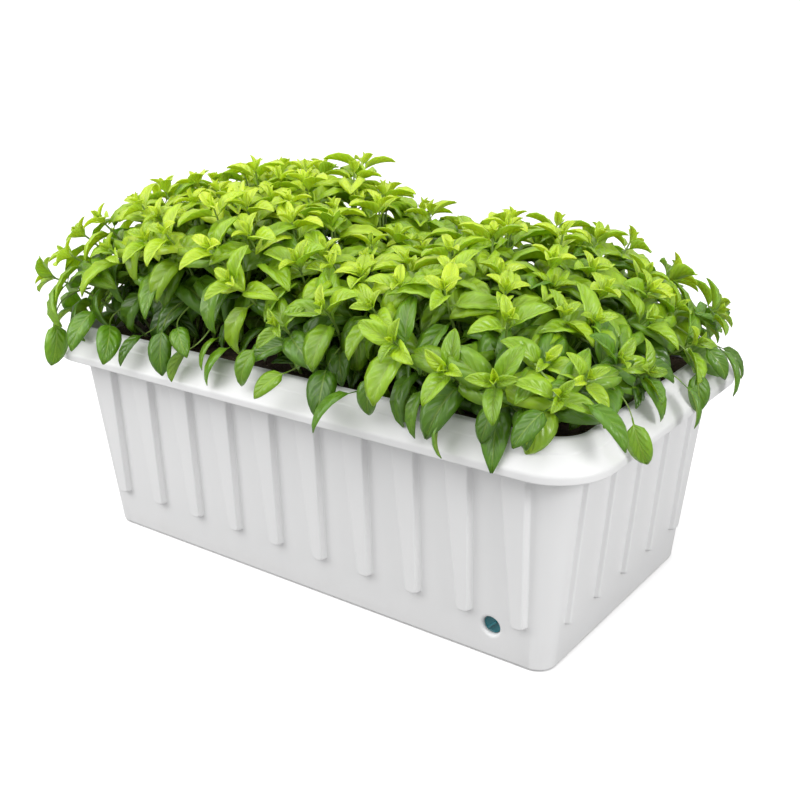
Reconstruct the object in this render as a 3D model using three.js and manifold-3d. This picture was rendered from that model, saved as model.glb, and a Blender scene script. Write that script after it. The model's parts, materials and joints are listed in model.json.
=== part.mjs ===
// Self-watering planter trough: a ribbed tapered tub with an out-turned rim, a perforated platform
// that keeps the potting mix above a water reservoir, two wick baskets, a filling tube with a hinged
// cap, a float gauge, a screw-in drain plug, and the basil plants that grow in it.
// Millimetres, +Z up. The origin is the centre of the base; the long front wall faces -Y.

import * as THREE from 'three';
import { mergeVertices } from 'three/addons/utils/BufferGeometryUtils.js';
import Module from 'manifold-3d';

const wasm = await Module();
wasm.setup();

// ---------- driving dimensions ----------

// Tub wall. The outside tapers straight from the base to the level of the rim's lower edge.
const BASE_HALF_LENGTH = 265;
const BASE_HALF_WIDTH = 130;
const LIP_HALF_LENGTH = 287.5;
const LIP_HALF_WIDTH = 139.5;
const BASE_CORNER = 17;
const LIP_CORNER = 26;
const WALL = 3;
const FLOOR = 3;
const BASE_FILLET = 3;
const CORNER_STEPS = 5;
const COVE = 2;

// Rim
const RIM_BOTTOM = 190;
const RIM_TOP = 220.3;
const RIM_OVERHANG = 25;
const RIM_SKIN = 2.8;

// Ribs
const RIB_BOTTOM = 40;
const RIB_TOP = 212;
const RIB_FOOT_WIDTH = 14;
const RIB_HEAD_WIDTH = 26.5;
const RIB_EDGE = 1.3;
const RIB_CHANNEL_INSET = 2.6;
const FRONT_RIBS = { count: 10, spacing: 53.6, height: 6.5 };
const END_RIBS = { count: 5, spacing: 50.8, height: 5 };
const CHANNEL_CLEAR_OF_TOP = 15;

// A cut runs this far past the face that it opens.
const OVERCUT = 2;

// Drain port, midway between the last two front ribs
const PORT_X = 212.4;
const PORT_Z = 31;
const PORT_MOUTH_RADIUS = 10.4;
const PORT_MOUTH_DEPTH = 2;
const PORT_COUNTERBORE_RADIUS = 8.5;
const PORT_COUNTERBORE_DEPTH = 7.5;
const PORT_BORE_RADIUS = 7;
const PORT_BOSS_RADIUS = 11.5;
const PORT_BOSS_DEPTH = 14;
const PLUG_HEAD_RADIUS = 8.1;
const PLUG_HEAD_FACE = 3.6;
const PLUG_HEAD_THICKNESS = 2;
const PLUG_SHANK_RADIUS = 6.4;
const PLUG_GRIP = { length: 13, width: 2.4, height: 1.7 };
const O_RING = { major: 7.3, minor: 0.75, depth: 6.5 };

// Reservoir platform and its supports
const GAP = 0.3;
const PLATFORM_BOTTOM = 60;
const PLATFORM_THICKNESS = 3;
const LEG_X = [-170, 0, 170];
const LEG_Y = 88;
const LEG_RADIUS = { flange: 12, head: 9.5, foot: 7.5 };
const LEG_WALL = 2;
const BASKET_X = 105;
const BASKET = { flangeHalf: 45, topHalf: 40, footHalf: 34, corner: 8, floorZ: 5.5, wall: 2 };
const BASKET_CORNER_STEPS = 2;
const BASKET_SLOT = { width: 5, height: 34, middle: 30, places: [-18, 0, 18] };
const SLOT = { length: 20, width: 4, pitch: 64, columns: 8, rows: [-108, -62, 62, 108] };
const RISER_HOLE_CLEARANCE = 0.6;
const RISER_FACETS = 20;

// Potting mix, with a rounded shoulder: each level is [drop below the top, inset from the wall].
const SOIL_TOP = 205;
const SOIL_SHOULDER = [[4, 0], [1, 6], [0, 20]];

// Filling tube, in the rear left corner
const FILL = { x: -232, y: 98, outer: 15, inner: 13, bottom: 8, top: 226 };
const STANDPIPE_NOTCH = 16;
const COLLAR = { outer: 17.5, bottom: 209, top: 232 };
const CAP = { radius: 18.3, thickness: 3, edge: 1, spigotRadius: 12.2, spigotDepth: 3 };
const CAP_TAB = { width: 12, length: 8, thinner: 0.8 };
const CAP_WEB = { length: 8, thinner: 0.6, narrower: 1 };
const HINGE = { y: 21.5, z: 234, pinRadius: 1.2, knuckleRadius: 3.1, knuckleHalf: 6, earWidth: 3 };
const EAR = { footDrop: 12, neckDrop: 4, rootOverlap: 1.5, seatDrop: 0.5 };
const PIN_CLEARANCE = 0.1;
const PIN_FACETS = 12;

// Float gauge, in the rear right corner
const GAUGE = { x: 236, y: 100, outer: 10, inner: 8, bottom: 6, top: 226 };
const GAUGE_CAP = { wall: 1.8, skirt: 14, lid: 2.5, edge: 1, rodClearance: 0.5 };
const FLOAT = { radius: 6.8, bottom: 8, top: 24, edge: 1.5 };
const ROD = { radius: 1.5, top: 233 };
const TIP = { radius: 4, height: 10, endShare: 0.6, bellyFrom: 0.3, bellyTo: 0.7 };

// Basil: two rows of three plants
const PLANT_X = [-180, 0, 180];
const PLANT_Y = 66;
const PLANT_TOPS = { rear: [382, 362, 356], front: [362, 352, 348] };
const CELL_GAP = 1;
const CANOPY_HALF_LENGTH = 348;
const CANOPY_HALF_WIDTH = 204;
const STEM_RADIUS = 3.2;
const SPRAYS = 6;
const SPRAY_THICKNESS = 1.6;
const SPRAY_SPREAD = 0.24;
const SPRAY_SHOULDER = 0.62;
const SPRAY_VALLEY = 14;
const SPRAY_STUB = 20;
const RISER_CLEARANCE = 56;
const RISER_CLEAR_TOP = 288;

// ---------- helpers ----------

function lerp(a, b, t) {
  return a + (b - a) * t;
}

// Outside size of the tub at height z.
function tubAt(z) {
  const t = z / RIM_BOTTOM;
  return {
    halfLength: lerp(BASE_HALF_LENGTH, LIP_HALF_LENGTH, t),
    halfWidth: lerp(BASE_HALF_WIDTH, LIP_HALF_WIDTH, t),
    corner: lerp(BASE_CORNER, LIP_CORNER, t),
  };
}

// A level of a rounded block: height, half length, half width and corner radius.
function tubLevel(z, offset) {
  const tub = tubAt(z);
  const corner = Math.max(tub.corner + offset, 1);
  return [z, tub.halfLength + offset, tub.halfWidth + offset, corner];
}

function rimLevel([offset, z]) {
  return [z, LIP_HALF_LENGTH + offset, LIP_HALF_WIDTH + offset, LIP_CORNER + offset];
}

// A block with rounded vertical edges whose plan size and corner radius change from level to level.
// The outline is extruded one unit per level with its corner centres at (1, 1) and a radius of 1,
// and each point is then carried to its own level's size.
function roundedBlock(levels, cornerSteps = CORNER_STEPS) {
  const corners = [];
  for (const [quarter, x, y] of [[0, 1, 1], [1, -1, 1], [2, -1, -1], [3, 1, -1]]) {
    for (let i = 0; i <= cornerSteps; i++) {
      const angle = (quarter + i / cornerSteps) * (Math.PI / 2);
      corners.push(new THREE.Vector2(x + Math.cos(angle), y + Math.sin(angle)));
    }
  }
  const outline = new THREE.Shape(corners);
  const steps = levels.length - 1;
  const geometry = new THREE.ExtrudeGeometry(outline, { depth: steps, steps, bevelEnabled: false });
  const points = geometry.attributes.position;
  for (let i = 0; i < points.count; i++) {
    const [z, halfLength, halfWidth, corner] = levels[Math.round(points.getZ(i))];
    const x = points.getX(i);
    const y = points.getY(i);
    points.setXYZ(
      i,
      Math.sign(x) * (halfLength - corner + corner * (Math.abs(x) - 1)),
      Math.sign(y) * (halfWidth - corner + corner * (Math.abs(y) - 1)),
      z,
    );
  }
  return geometry;
}

function solid(geometry) {
  const bare = geometry.clone();
  bare.deleteAttribute('normal');
  bare.deleteAttribute('uv');
  const merged = mergeVertices(bare, 1e-4);
  return new wasm.Manifold(new wasm.Mesh({
    numProp: 3,
    vertProperties: new Float32Array(merged.attributes.position.array),
    triVerts: new Uint32Array(merged.index.array),
  }));
}

function geometryOf(manifold) {
  const mesh = manifold.getMesh();
  const geometry = new THREE.BufferGeometry();
  geometry.setAttribute('position', new THREE.BufferAttribute(mesh.vertProperties, 3));
  geometry.setIndex(new THREE.BufferAttribute(mesh.triVerts, 1));
  geometry.computeVertexNormals();
  return geometry;
}

function lathe(profile, segments) {
  return new THREE.LatheGeometry(profile.map(([r, y]) => new THREE.Vector2(r, y)), segments);
}

// A turned shape with its axis along +Z; profile points are [radius, z], from low to high outside.
function turned(profile, segments) {
  return lathe(profile, segments).rotateX(Math.PI / 2);
}

function box(width, depth, height, x, y, z) {
  return new THREE.BoxGeometry(width, depth, height).translate(x, y, z);
}

function rod(radius, bottom, top, segments) {
  const geometry = new THREE.CylinderGeometry(radius, radius, top - bottom, segments);
  return geometry.rotateX(Math.PI / 2).translate(0, 0, (bottom + top) / 2);
}

function rodAlongX(radius, length, segments) {
  return new THREE.CylinderGeometry(radius, radius, length, segments).rotateZ(Math.PI / 2);
}

const planter = new THREE.Group();

function addMesh(name, geometry, material, parent = planter) {
  const mesh = new THREE.Mesh(geometry, material);
  mesh.name = name;
  parent.add(mesh);
  return mesh;
}

function plastic(color, roughness = 0.45) {
  return new THREE.MeshStandardMaterial({ color, roughness, metalness: 0 });
}

const WHITE = plastic(0xeeeeee, 0.42);
const GREY = plastic(0x8b9094, 0.55);
const DARK_GREY = plastic(0x4c5154, 0.55);
const TEAL = plastic(0x2f6f73, 0.25);
const CLEAR = plastic(0xdde6e8, 0.1);
const RED = plastic(0xc8362e, 0.3);
const FOAM = plastic(0xf1e8c8, 0.8);
const RUBBER = plastic(0x1c1c1c, 0.8);
const SOIL = plastic(0x2b211a, 0.95);
const LEAF = plastic(0x7cab2e, 0.5);

// ---------- tub ----------

// One raised rib on a wall that faces +Y, as long as its wall half width says. inset is how much
// thinner it is on its sides, foot and face; a channel inside the rib uses the same shape.
function rib(ribs, wallAt, inset, top) {
  const outline = new THREE.Shape([
    new THREE.Vector2(-1, -1),
    new THREE.Vector2(1, -1),
    new THREE.Vector2(1, 0),
    new THREE.Vector2(1, 1),
    new THREE.Vector2(-1, 1),
    new THREE.Vector2(-1, 0),
  ]);
  const geometry = new THREE.ExtrudeGeometry(outline, { depth: 1, steps: 1, bevelEnabled: false });
  const points = geometry.attributes.position;
  const bottom = RIB_BOTTOM + inset;
  const root = inset > 0 ? WALL + OVERCUT : WALL / 2;
  for (let i = 0; i < points.count; i++) {
    const z = lerp(bottom, top, points.getZ(i));
    const t = (z - RIB_BOTTOM) / (RIM_BOTTOM - RIB_BOTTOM);
    const side = lerp(RIB_FOOT_WIDTH, RIB_HEAD_WIDTH, t) / 2 - inset;
    const level = points.getY(i);
    const halfWidth = level > 0.5 ? side - RIB_EDGE : side;
    const height = level < -0.5 ? -root : level * (ribs.height - inset);
    points.setXYZ(i, points.getX(i) * halfWidth, wallAt(z) + height, z);
  }
  return solid(geometry);
}

// The ribs or channels of all four walls, each turned to face its own wall.
function allRibs(inset, top) {
  const sets = [
    { ribs: FRONT_RIBS, wallAt: (z) => tubAt(z).halfWidth, turns: [0, 180] },
    { ribs: END_RIBS, wallAt: (z) => tubAt(z).halfLength, turns: [90, 270] },
  ];
  const parts = [];
  for (const { ribs, wallAt, turns } of sets) {
    const one = rib(ribs, wallAt, inset, top);
    for (let i = 0; i < ribs.count; i++) {
      const along = (i - (ribs.count - 1) / 2) * ribs.spacing;
      for (const turn of turns) {
        parts.push(one.translate([along, 0, 0]).rotate([0, 0, turn]));
      }
    }
  }
  return parts;
}

// The port's own frame: +Y along the axis, out of the wall, with its origin on the outer surface.
const WALL_SLOPE = Math.atan((LIP_HALF_WIDTH - BASE_HALF_WIDTH) / RIM_BOTTOM);
const portFrame = new THREE.Group();
portFrame.position.set(PORT_X, -tubAt(PORT_Z).halfWidth, PORT_Z);
portFrame.rotation.x = Math.PI + WALL_SLOPE;
portFrame.updateMatrix();
planter.add(portFrame);

const PORT_SEGMENTS = 28;

function troughShell() {
  const body = solid(roundedBlock([
    tubLevel(0, -BASE_FILLET),
    tubLevel(BASE_FILLET * 0.3, -BASE_FILLET * 0.3),
    tubLevel(BASE_FILLET, 0),
    tubLevel(RIM_TOP - 1, 0),
  ]));
  // Rim outline, from its lower edge over the rolled band and the sloped skirt to the top ledge.
  const skirt = [
    [RIM_OVERHANG - 1.2, RIM_BOTTOM],
    [RIM_OVERHANG, RIM_BOTTOM + 2],
    [RIM_OVERHANG, RIM_BOTTOM + 5],
    [RIM_OVERHANG - 1.5, RIM_BOTTOM + 9],
    [14.5, 210.5],
    [13.6, 212.2],
    [7.5, 218.8],
    [5, RIM_TOP],
  ];
  const hollow = [
    [RIM_OVERHANG - RIM_SKIN, RIM_BOTTOM - 1],
    [RIM_OVERHANG - RIM_SKIN, RIM_BOTTOM + 5],
    [RIM_OVERHANG - RIM_SKIN - 1.5, RIM_BOTTOM + 8],
    [10, 211],
    [6, 215.5],
  ];
  const rim = solid(roundedBlock(skirt.map(rimLevel)))
    .subtract(solid(roundedBlock(hollow.map(rimLevel))));
  const boss = solid(lathe([
    [0, -PORT_BOSS_DEPTH], [PORT_BOSS_RADIUS, -PORT_BOSS_DEPTH], [PORT_BOSS_RADIUS, -1], [0, -1],
  ], PORT_SEGMENTS).applyMatrix4(portFrame.matrix));
  const bore = solid(lathe([
    [0, -PORT_BOSS_DEPTH - OVERCUT],
    [PORT_BORE_RADIUS, -PORT_BOSS_DEPTH - OVERCUT],
    [PORT_BORE_RADIUS, -PORT_COUNTERBORE_DEPTH],
    [PORT_COUNTERBORE_RADIUS, -PORT_COUNTERBORE_DEPTH],
    [PORT_COUNTERBORE_RADIUS, -PORT_MOUTH_DEPTH],
    [PORT_MOUTH_RADIUS, 0],
    [PORT_MOUTH_RADIUS + 1, 1],
    [0, 1],
  ], PORT_SEGMENTS).applyMatrix4(portFrame.matrix));
  const cavity = solid(roundedBlock([
    tubLevel(FLOOR, -WALL - COVE),
    tubLevel(FLOOR + COVE, -WALL),
    tubLevel(RIM_TOP + OVERCUT, -WALL),
  ]));
  let shell = wasm.Manifold.union([body, rim, ...allRibs(0, RIB_TOP)]);
  shell = shell.subtract(cavity);
  for (const channel of allRibs(RIB_CHANNEL_INSET, RIM_TOP - CHANNEL_CLEAR_OF_TOP)) {
    shell = shell.subtract(channel);
  }
  return shell.add(boss).subtract(bore);
}

addMesh('trough_shell', geometryOf(troughShell()), WHITE);

// ---------- drain plug ----------

const headBack = -PLUG_HEAD_FACE - PLUG_HEAD_THICKNESS;
const plugBody = solid(lathe([
  [0, -PORT_BOSS_DEPTH],
  [PLUG_SHANK_RADIUS - 1, -PORT_BOSS_DEPTH],
  [PLUG_SHANK_RADIUS, -PORT_BOSS_DEPTH + 1],
  [PLUG_SHANK_RADIUS, headBack],
  [PLUG_HEAD_RADIUS, headBack],
  [PLUG_HEAD_RADIUS, -PLUG_HEAD_FACE],
  [0, -PLUG_HEAD_FACE],
], PORT_SEGMENTS));
const plugGrip = solid(
  new THREE.BoxGeometry(PLUG_GRIP.length, PLUG_GRIP.height + 1, PLUG_GRIP.width)
    .translate(0, -PLUG_HEAD_FACE + (PLUG_GRIP.height - 1) / 2, 0)
    .rotateY(Math.PI / 4),
);
addMesh('drain_plug', geometryOf(plugBody.add(plugGrip)), TEAL, portFrame);

const oRing = new THREE.TorusGeometry(O_RING.major, O_RING.minor, 6, 20).rotateX(Math.PI / 2);
addMesh('plug_o_ring', oRing.translate(0, -O_RING.depth, 0), RUBBER, portFrame);

// ---------- platform, legs and wick baskets ----------

function slotIsClear(x, y) {
  const risers = [FILL, GAUGE];
  return risers.every((riser) => Math.hypot(x - riser.x, y - riser.y) > riser.outer + SLOT.length);
}

function platform() {
  const cutDepth = 3 * PLATFORM_THICKNESS;
  const middle = PLATFORM_BOTTOM + PLATFORM_THICKNESS / 2;
  let plate = solid(roundedBlock([
    tubLevel(PLATFORM_BOTTOM, -WALL - GAP),
    tubLevel(PLATFORM_BOTTOM + PLATFORM_THICKNESS, -WALL - GAP),
  ]));
  const cut = (geometry) => {
    plate = plate.subtract(solid(geometry));
  };
  for (const riser of [FILL, GAUGE]) {
    const radius = riser.outer + RISER_HOLE_CLEARANCE;
    const hole = rod(radius, middle - cutDepth / 2, middle + cutDepth / 2, RISER_FACETS);
    cut(hole.translate(riser.x, riser.y, 0));
  }
  const basketHole = 2 * (BASKET.topHalf + RISER_HOLE_CLEARANCE);
  for (const x of [-BASKET_X, BASKET_X]) {
    cut(box(basketHole, basketHole, cutDepth, x, 0, middle));
  }
  for (const y of SLOT.rows) {
    for (let column = 0; column < SLOT.columns; column++) {
      const x = (column - (SLOT.columns - 1) / 2) * SLOT.pitch;
      if (slotIsClear(x, y)) {
        cut(box(SLOT.length, SLOT.width, cutDepth, x, y, middle));
      }
    }
  }
  return geometryOf(plate);
}

addMesh('reservoir_platform', platform(), GREY);

function leg() {
  const top = PLATFORM_BOTTOM - GAP;
  const bottom = FLOOR + GAP;
  return turned([
    [0, top - LEG_WALL * 2],
    [LEG_RADIUS.head - LEG_WALL, top - LEG_WALL * 2],
    [LEG_RADIUS.foot - LEG_WALL, bottom],
    [LEG_RADIUS.foot, bottom],
    [LEG_RADIUS.head, top - LEG_WALL],
    [LEG_RADIUS.flange, top - LEG_WALL],
    [LEG_RADIUS.flange, top],
    [0, top],
  ], 10);
}

let legNumber = 1;
for (const y of [-LEG_Y, LEG_Y]) {
  for (const x of LEG_X) {
    addMesh(`platform_leg_${legNumber}`, leg(), DARK_GREY).position.set(x, y, 0);
    legNumber += 1;
  }
}

const PLATFORM_TOP = PLATFORM_BOTTOM + PLATFORM_THICKNESS;
const FLANGE_TOP = PLATFORM_TOP + GAP + BASKET.wall;

function basketLevel(z, halfSize, inset) {
  return [z, halfSize - inset, halfSize - inset, BASKET.corner - inset];
}

function wickBasket() {
  const flangeZ = PLATFORM_TOP + GAP;
  const shell = solid(roundedBlock([
    basketLevel(BASKET.floorZ, BASKET.footHalf, 0),
    basketLevel(flangeZ, BASKET.topHalf, 0),
    basketLevel(flangeZ, BASKET.flangeHalf, 0),
    basketLevel(FLANGE_TOP, BASKET.flangeHalf, 0),
  ], BASKET_CORNER_STEPS));
  const inside = solid(roundedBlock([
    basketLevel(BASKET.floorZ + BASKET.wall, BASKET.footHalf, BASKET.wall),
    basketLevel(FLANGE_TOP + 1, BASKET.topHalf, BASKET.wall),
  ], BASKET_CORNER_STEPS));
  let cup = shell.subtract(inside);
  const across = 2 * BASKET.flangeHalf;
  const { width, height, middle } = BASKET_SLOT;
  for (const along of BASKET_SLOT.places) {
    cup = cup.subtract(solid(box(width, across, height, along, 0, middle)));
    cup = cup.subtract(solid(box(across, width, height, 0, along, middle)));
  }
  return geometryOf(cup);
}

function wickSoil() {
  const inset = BASKET.wall + GAP + 0.1;
  return roundedBlock([
    basketLevel(BASKET.floorZ + BASKET.wall + GAP, BASKET.footHalf, inset),
    basketLevel(FLANGE_TOP, BASKET.topHalf, inset),
  ], BASKET_CORNER_STEPS);
}

for (const [side, x] of [['left', -BASKET_X], ['right', BASKET_X]]) {
  addMesh(`wick_basket_${side}`, wickBasket(), DARK_GREY).position.x = x;
  addMesh(`wick_soil_${side}`, wickSoil(), SOIL).position.x = x;
}

// ---------- potting mix ----------

function pottingMix() {
  const side = -WALL - GAP;
  let mix = solid(roundedBlock([
    tubLevel(PLATFORM_TOP + GAP, side),
    ...SOIL_SHOULDER.map(([drop, inset]) => tubLevel(SOIL_TOP - drop, side - inset)),
  ]));
  const flangeRecess = 2 * (BASKET.flangeHalf + GAP);
  const recessDepth = FLANGE_TOP + GAP - PLATFORM_TOP;
  for (const x of [-BASKET_X, BASKET_X]) {
    const z = PLATFORM_TOP + recessDepth / 2;
    mix = mix.subtract(solid(box(flangeRecess, flangeRecess, recessDepth, x, 0, z)));
  }
  for (const riser of [FILL, GAUGE]) {
    const hole = rod(riser.outer + GAP, 0, 2 * SOIL_TOP, RISER_FACETS);
    mix = mix.subtract(solid(hole.translate(riser.x, riser.y, 0)));
  }
  return geometryOf(mix);
}

addMesh('potting_mix', pottingMix(), SOIL);

// ---------- filling tube with its hinged cap ----------

function standpipe({ outer, inner, bottom, top }) {
  const pipe = solid(turned([
    [inner, bottom], [outer, bottom], [outer, top], [inner, top], [inner, bottom],
  ], RISER_FACETS));
  const notch = solid(box(inner, 3 * outer, STANDPIPE_NOTCH, 0, 0, bottom));
  return geometryOf(pipe.subtract(notch));
}

const fillFrame = new THREE.Group();
fillFrame.position.set(FILL.x, FILL.y, 0);
planter.add(fillFrame);

addMesh('fill_tube', standpipe(FILL), WHITE, fillFrame);

const pinLength = 2 * (HINGE.knuckleHalf + GAP + HINGE.earWidth) + 1;

// A hinge ear: a round end on the hinge axis with a foot that runs down to the collar.
function hingeEar(x) {
  const outline = new THREE.Shape();
  outline.moveTo(COLLAR.outer - EAR.rootOverlap, COLLAR.top - EAR.footDrop);
  outline.lineTo(HINGE.y + HINGE.knuckleRadius, HINGE.z - EAR.neckDrop);
  outline.absarc(HINGE.y, HINGE.z, HINGE.knuckleRadius, 0, Math.PI);
  outline.lineTo(HINGE.y - HINGE.knuckleRadius, COLLAR.top - EAR.seatDrop);
  outline.lineTo(COLLAR.outer - EAR.rootOverlap, COLLAR.top - EAR.seatDrop);
  const ear = new THREE.ExtrudeGeometry(outline, {
    depth: HINGE.earWidth, bevelEnabled: false, curveSegments: 6,
  });
  // The outline lies in the YZ plane of the tube's frame, and the thickness runs along X.
  const upright = new THREE.Matrix4().makeBasis(
    new THREE.Vector3(0, 1, 0), new THREE.Vector3(0, 0, 1), new THREE.Vector3(1, 0, 0),
  );
  return ear.applyMatrix4(upright).translate(x, 0, 0);
}

function hingeHole() {
  const hole = rodAlongX(HINGE.pinRadius + PIN_CLEARANCE, 2 * pinLength, PIN_FACETS);
  return solid(hole.translate(0, HINGE.y, HINGE.z));
}

function fillCollar() {
  const sleeveBore = FILL.outer + GAP;
  let collar = solid(turned([
    [sleeveBore, COLLAR.bottom],
    [COLLAR.outer, COLLAR.bottom],
    [COLLAR.outer, COLLAR.top],
    [FILL.inner, COLLAR.top],
    [FILL.inner, FILL.top + GAP],
    [sleeveBore, FILL.top + GAP],
    [sleeveBore, COLLAR.bottom],
  ], RISER_FACETS));
  const earStart = HINGE.knuckleHalf + GAP;
  collar = collar.add(solid(hingeEar(earStart)));
  collar = collar.add(solid(hingeEar(-earStart - HINGE.earWidth)));
  return geometryOf(collar.subtract(hingeHole()));
}

function fillCap() {
  const bottom = COLLAR.top + GAP;
  const lid = solid(turned([
    [0, bottom - CAP.spigotDepth],
    [CAP.spigotRadius, bottom - CAP.spigotDepth],
    [CAP.spigotRadius, bottom],
    [CAP.radius, bottom],
    [CAP.radius, bottom + CAP.thickness - CAP.edge],
    [CAP.radius - CAP.edge, bottom + CAP.thickness],
    [0, bottom + CAP.thickness],
  ], 24));
  const middle = bottom + CAP.thickness / 2;
  const webWidth = 2 * HINGE.knuckleHalf - CAP_WEB.narrower;
  const webThickness = CAP.thickness - CAP_WEB.thinner;
  const webMiddle = HINGE.y - CAP_WEB.length / 2;
  const web = solid(box(webWidth, CAP_WEB.length, webThickness, 0, webMiddle, middle));
  const tabThickness = CAP.thickness - CAP_TAB.thinner;
  const tabMiddle = -CAP.radius - CAP.edge;
  const tab = solid(box(CAP_TAB.width, CAP_TAB.length, tabThickness, 0, tabMiddle, middle));
  const knuckle = solid(rodAlongX(HINGE.knuckleRadius, 2 * HINGE.knuckleHalf, PIN_FACETS + 2)
    .translate(0, HINGE.y, HINGE.z));
  return geometryOf(wasm.Manifold.union([lid, web, tab, knuckle]).subtract(hingeHole()));
}

addMesh('fill_collar', fillCollar(), GREY, fillFrame);
addMesh('fill_cap', fillCap(), GREY, fillFrame);
const capPin = rodAlongX(HINGE.pinRadius, pinLength, PIN_FACETS);
addMesh('fill_cap_pin', capPin, DARK_GREY, fillFrame).position.set(0, HINGE.y, HINGE.z);

// ---------- float gauge ----------

const gaugeFrame = new THREE.Group();
gaugeFrame.position.set(GAUGE.x, GAUGE.y, 0);
planter.add(gaugeFrame);

addMesh('gauge_tube', standpipe(GAUGE), CLEAR, gaugeFrame);

const capBore = GAUGE.outer + GAP;
const gaugeCapTop = GAUGE.top + GAP + GAUGE_CAP.lid;
const gaugeCapBottom = GAUGE.top - GAUGE_CAP.skirt;
const gaugeCapRadius = capBore + GAUGE_CAP.wall;
const rodHole = ROD.radius + GAUGE_CAP.rodClearance;
addMesh('gauge_cap', turned([
  [capBore, gaugeCapBottom],
  [gaugeCapRadius, gaugeCapBottom],
  [gaugeCapRadius, gaugeCapTop - GAUGE_CAP.edge],
  [gaugeCapRadius - GAUGE_CAP.edge, gaugeCapTop],
  [rodHole, gaugeCapTop],
  [rodHole, GAUGE.top + GAP],
  [capBore, GAUGE.top + GAP],
  [capBore, gaugeCapBottom],
], RISER_FACETS), GREY, gaugeFrame);

addMesh('float_body', turned([
  [0, FLOAT.bottom],
  [FLOAT.radius - FLOAT.edge, FLOAT.bottom],
  [FLOAT.radius, FLOAT.bottom + FLOAT.edge],
  [FLOAT.radius, FLOAT.top - FLOAT.edge],
  [FLOAT.radius - FLOAT.edge, FLOAT.top],
  [0, FLOAT.top],
], 14), FOAM, gaugeFrame);

addMesh('float_rod', rod(ROD.radius, FLOAT.top + GAP, ROD.top, 8), DARK_GREY, gaugeFrame);

const tipBottom = ROD.top + GAP;
addMesh('gauge_tip', turned([
  [0, tipBottom],
  [TIP.radius * TIP.endShare, tipBottom],
  [TIP.radius, tipBottom + TIP.height * TIP.bellyFrom],
  [TIP.radius, tipBottom + TIP.height * TIP.bellyTo],
  [TIP.radius * TIP.endShare, tipBottom + TIP.height],
  [0, tipBottom + TIP.height],
], 12), RED, gaugeFrame);

// ---------- basil ----------

// How far a plant's leaves may go in a direction: to its neighbours' cells or to the canopy's edge.
function reachOf(angle, plant) {
  const along = Math.cos(angle);
  const across = Math.sin(angle);
  const limitX = along > 0 ? plant.cell.right - plant.x : plant.x - plant.cell.left;
  const limitY = across > 0 ? plant.cell.back - plant.y : plant.y - plant.cell.front;
  return Math.min(
    limitX / Math.max(Math.abs(along), 1e-6),
    limitY / Math.max(Math.abs(across), 1e-6),
  );
}

// True where a leaf spray would stand over the filling tube's cap or the gauge.
function meetsRiser(plant, angle, reach, z) {
  if (z > RISER_CLEAR_TOP) {
    return false;
  }
  return [FILL, GAUGE].some((riser) => [0.4, 0.7, 1].some((part) => {
    const x = plant.x + Math.cos(angle) * reach * part;
    const y = plant.y + Math.sin(angle) * reach * part;
    return Math.hypot(x - riser.x, y - riser.y) < RISER_CLEARANCE;
  }));
}

// One whorl of leaf sprays: a thin star round the stem, dished or drooping by its rise.
function whorl(plant, level) {
  const outline = [];
  for (let i = 0; i < SPRAYS; i++) {
    const angle = ((i + level.turn) / SPRAYS) * 2 * Math.PI;
    const full = reachOf(angle, plant) * level.fill;
    const reach = meetsRiser(plant, angle, full, level.z) ? SPRAY_STUB : full;
    const shoulder = Math.max(SPRAY_SHOULDER * reach, SPRAY_VALLEY);
    outline.push([angle - SPRAY_SPREAD, shoulder]);
    outline.push([angle, reach]);
    outline.push([angle + SPRAY_SPREAD, shoulder]);
    outline.push([angle + Math.PI / SPRAYS, SPRAY_VALLEY]);
  }
  const shape = new THREE.Shape(outline.map(
    ([angle, radius]) => new THREE.Vector2(radius * Math.cos(angle), radius * Math.sin(angle)),
  ));
  const star = new THREE.ExtrudeGeometry(shape, { depth: SPRAY_THICKNESS, bevelEnabled: false });
  const points = star.attributes.position;
  for (let i = 0; i < points.count; i++) {
    const radius = Math.hypot(points.getX(i), points.getY(i));
    points.setZ(i, level.z + points.getZ(i) + level.rise * radius);
  }
  return solid(star);
}

function basilPlant(plant) {
  const levels = [
    { z: 240, turn: 0, fill: 0.82, rise: -0.05 },
    { z: 258, turn: 0.5, fill: 1, rise: 0 },
    { z: 276, turn: 0, fill: 1, rise: 0 },
    { z: 306, turn: 0.5, fill: 0.85, rise: 0.1 },
    { z: plant.top - 30, turn: 0, fill: 0.55, rise: 0.3 },
  ];
  const stem = solid(rod(STEM_RADIUS, SOIL_TOP + GAP, plant.top, 6));
  return geometryOf(wasm.Manifold.union([stem, ...levels.map((level) => whorl(plant, level))]));
}

let plantNumber = 1;
for (const row of ['rear', 'front']) {
  const y = row === 'rear' ? PLANT_Y : -PLANT_Y;
  PLANT_X.forEach((x, column) => {
    const halfPitch = PLANT_X[2] / 2;
    const plant = {
      x,
      y,
      top: PLANT_TOPS[row][column],
      cell: {
        left: column === 0 ? -CANOPY_HALF_LENGTH : x - halfPitch + CELL_GAP,
        right: column === 2 ? CANOPY_HALF_LENGTH : x + halfPitch - CELL_GAP,
        front: row === 'front' ? -CANOPY_HALF_WIDTH : CELL_GAP,
        back: row === 'rear' ? CANOPY_HALF_WIDTH : -CELL_GAP,
      },
    };
    addMesh(`basil_plant_${plantNumber}`, basilPlant(plant), LEAF).position.set(x, y, 0);
    plantNumber += 1;
  });
}

export default planter;
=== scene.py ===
import json
import math
import random

import bmesh
import bpy
from mathutils import Matrix, Vector

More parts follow.
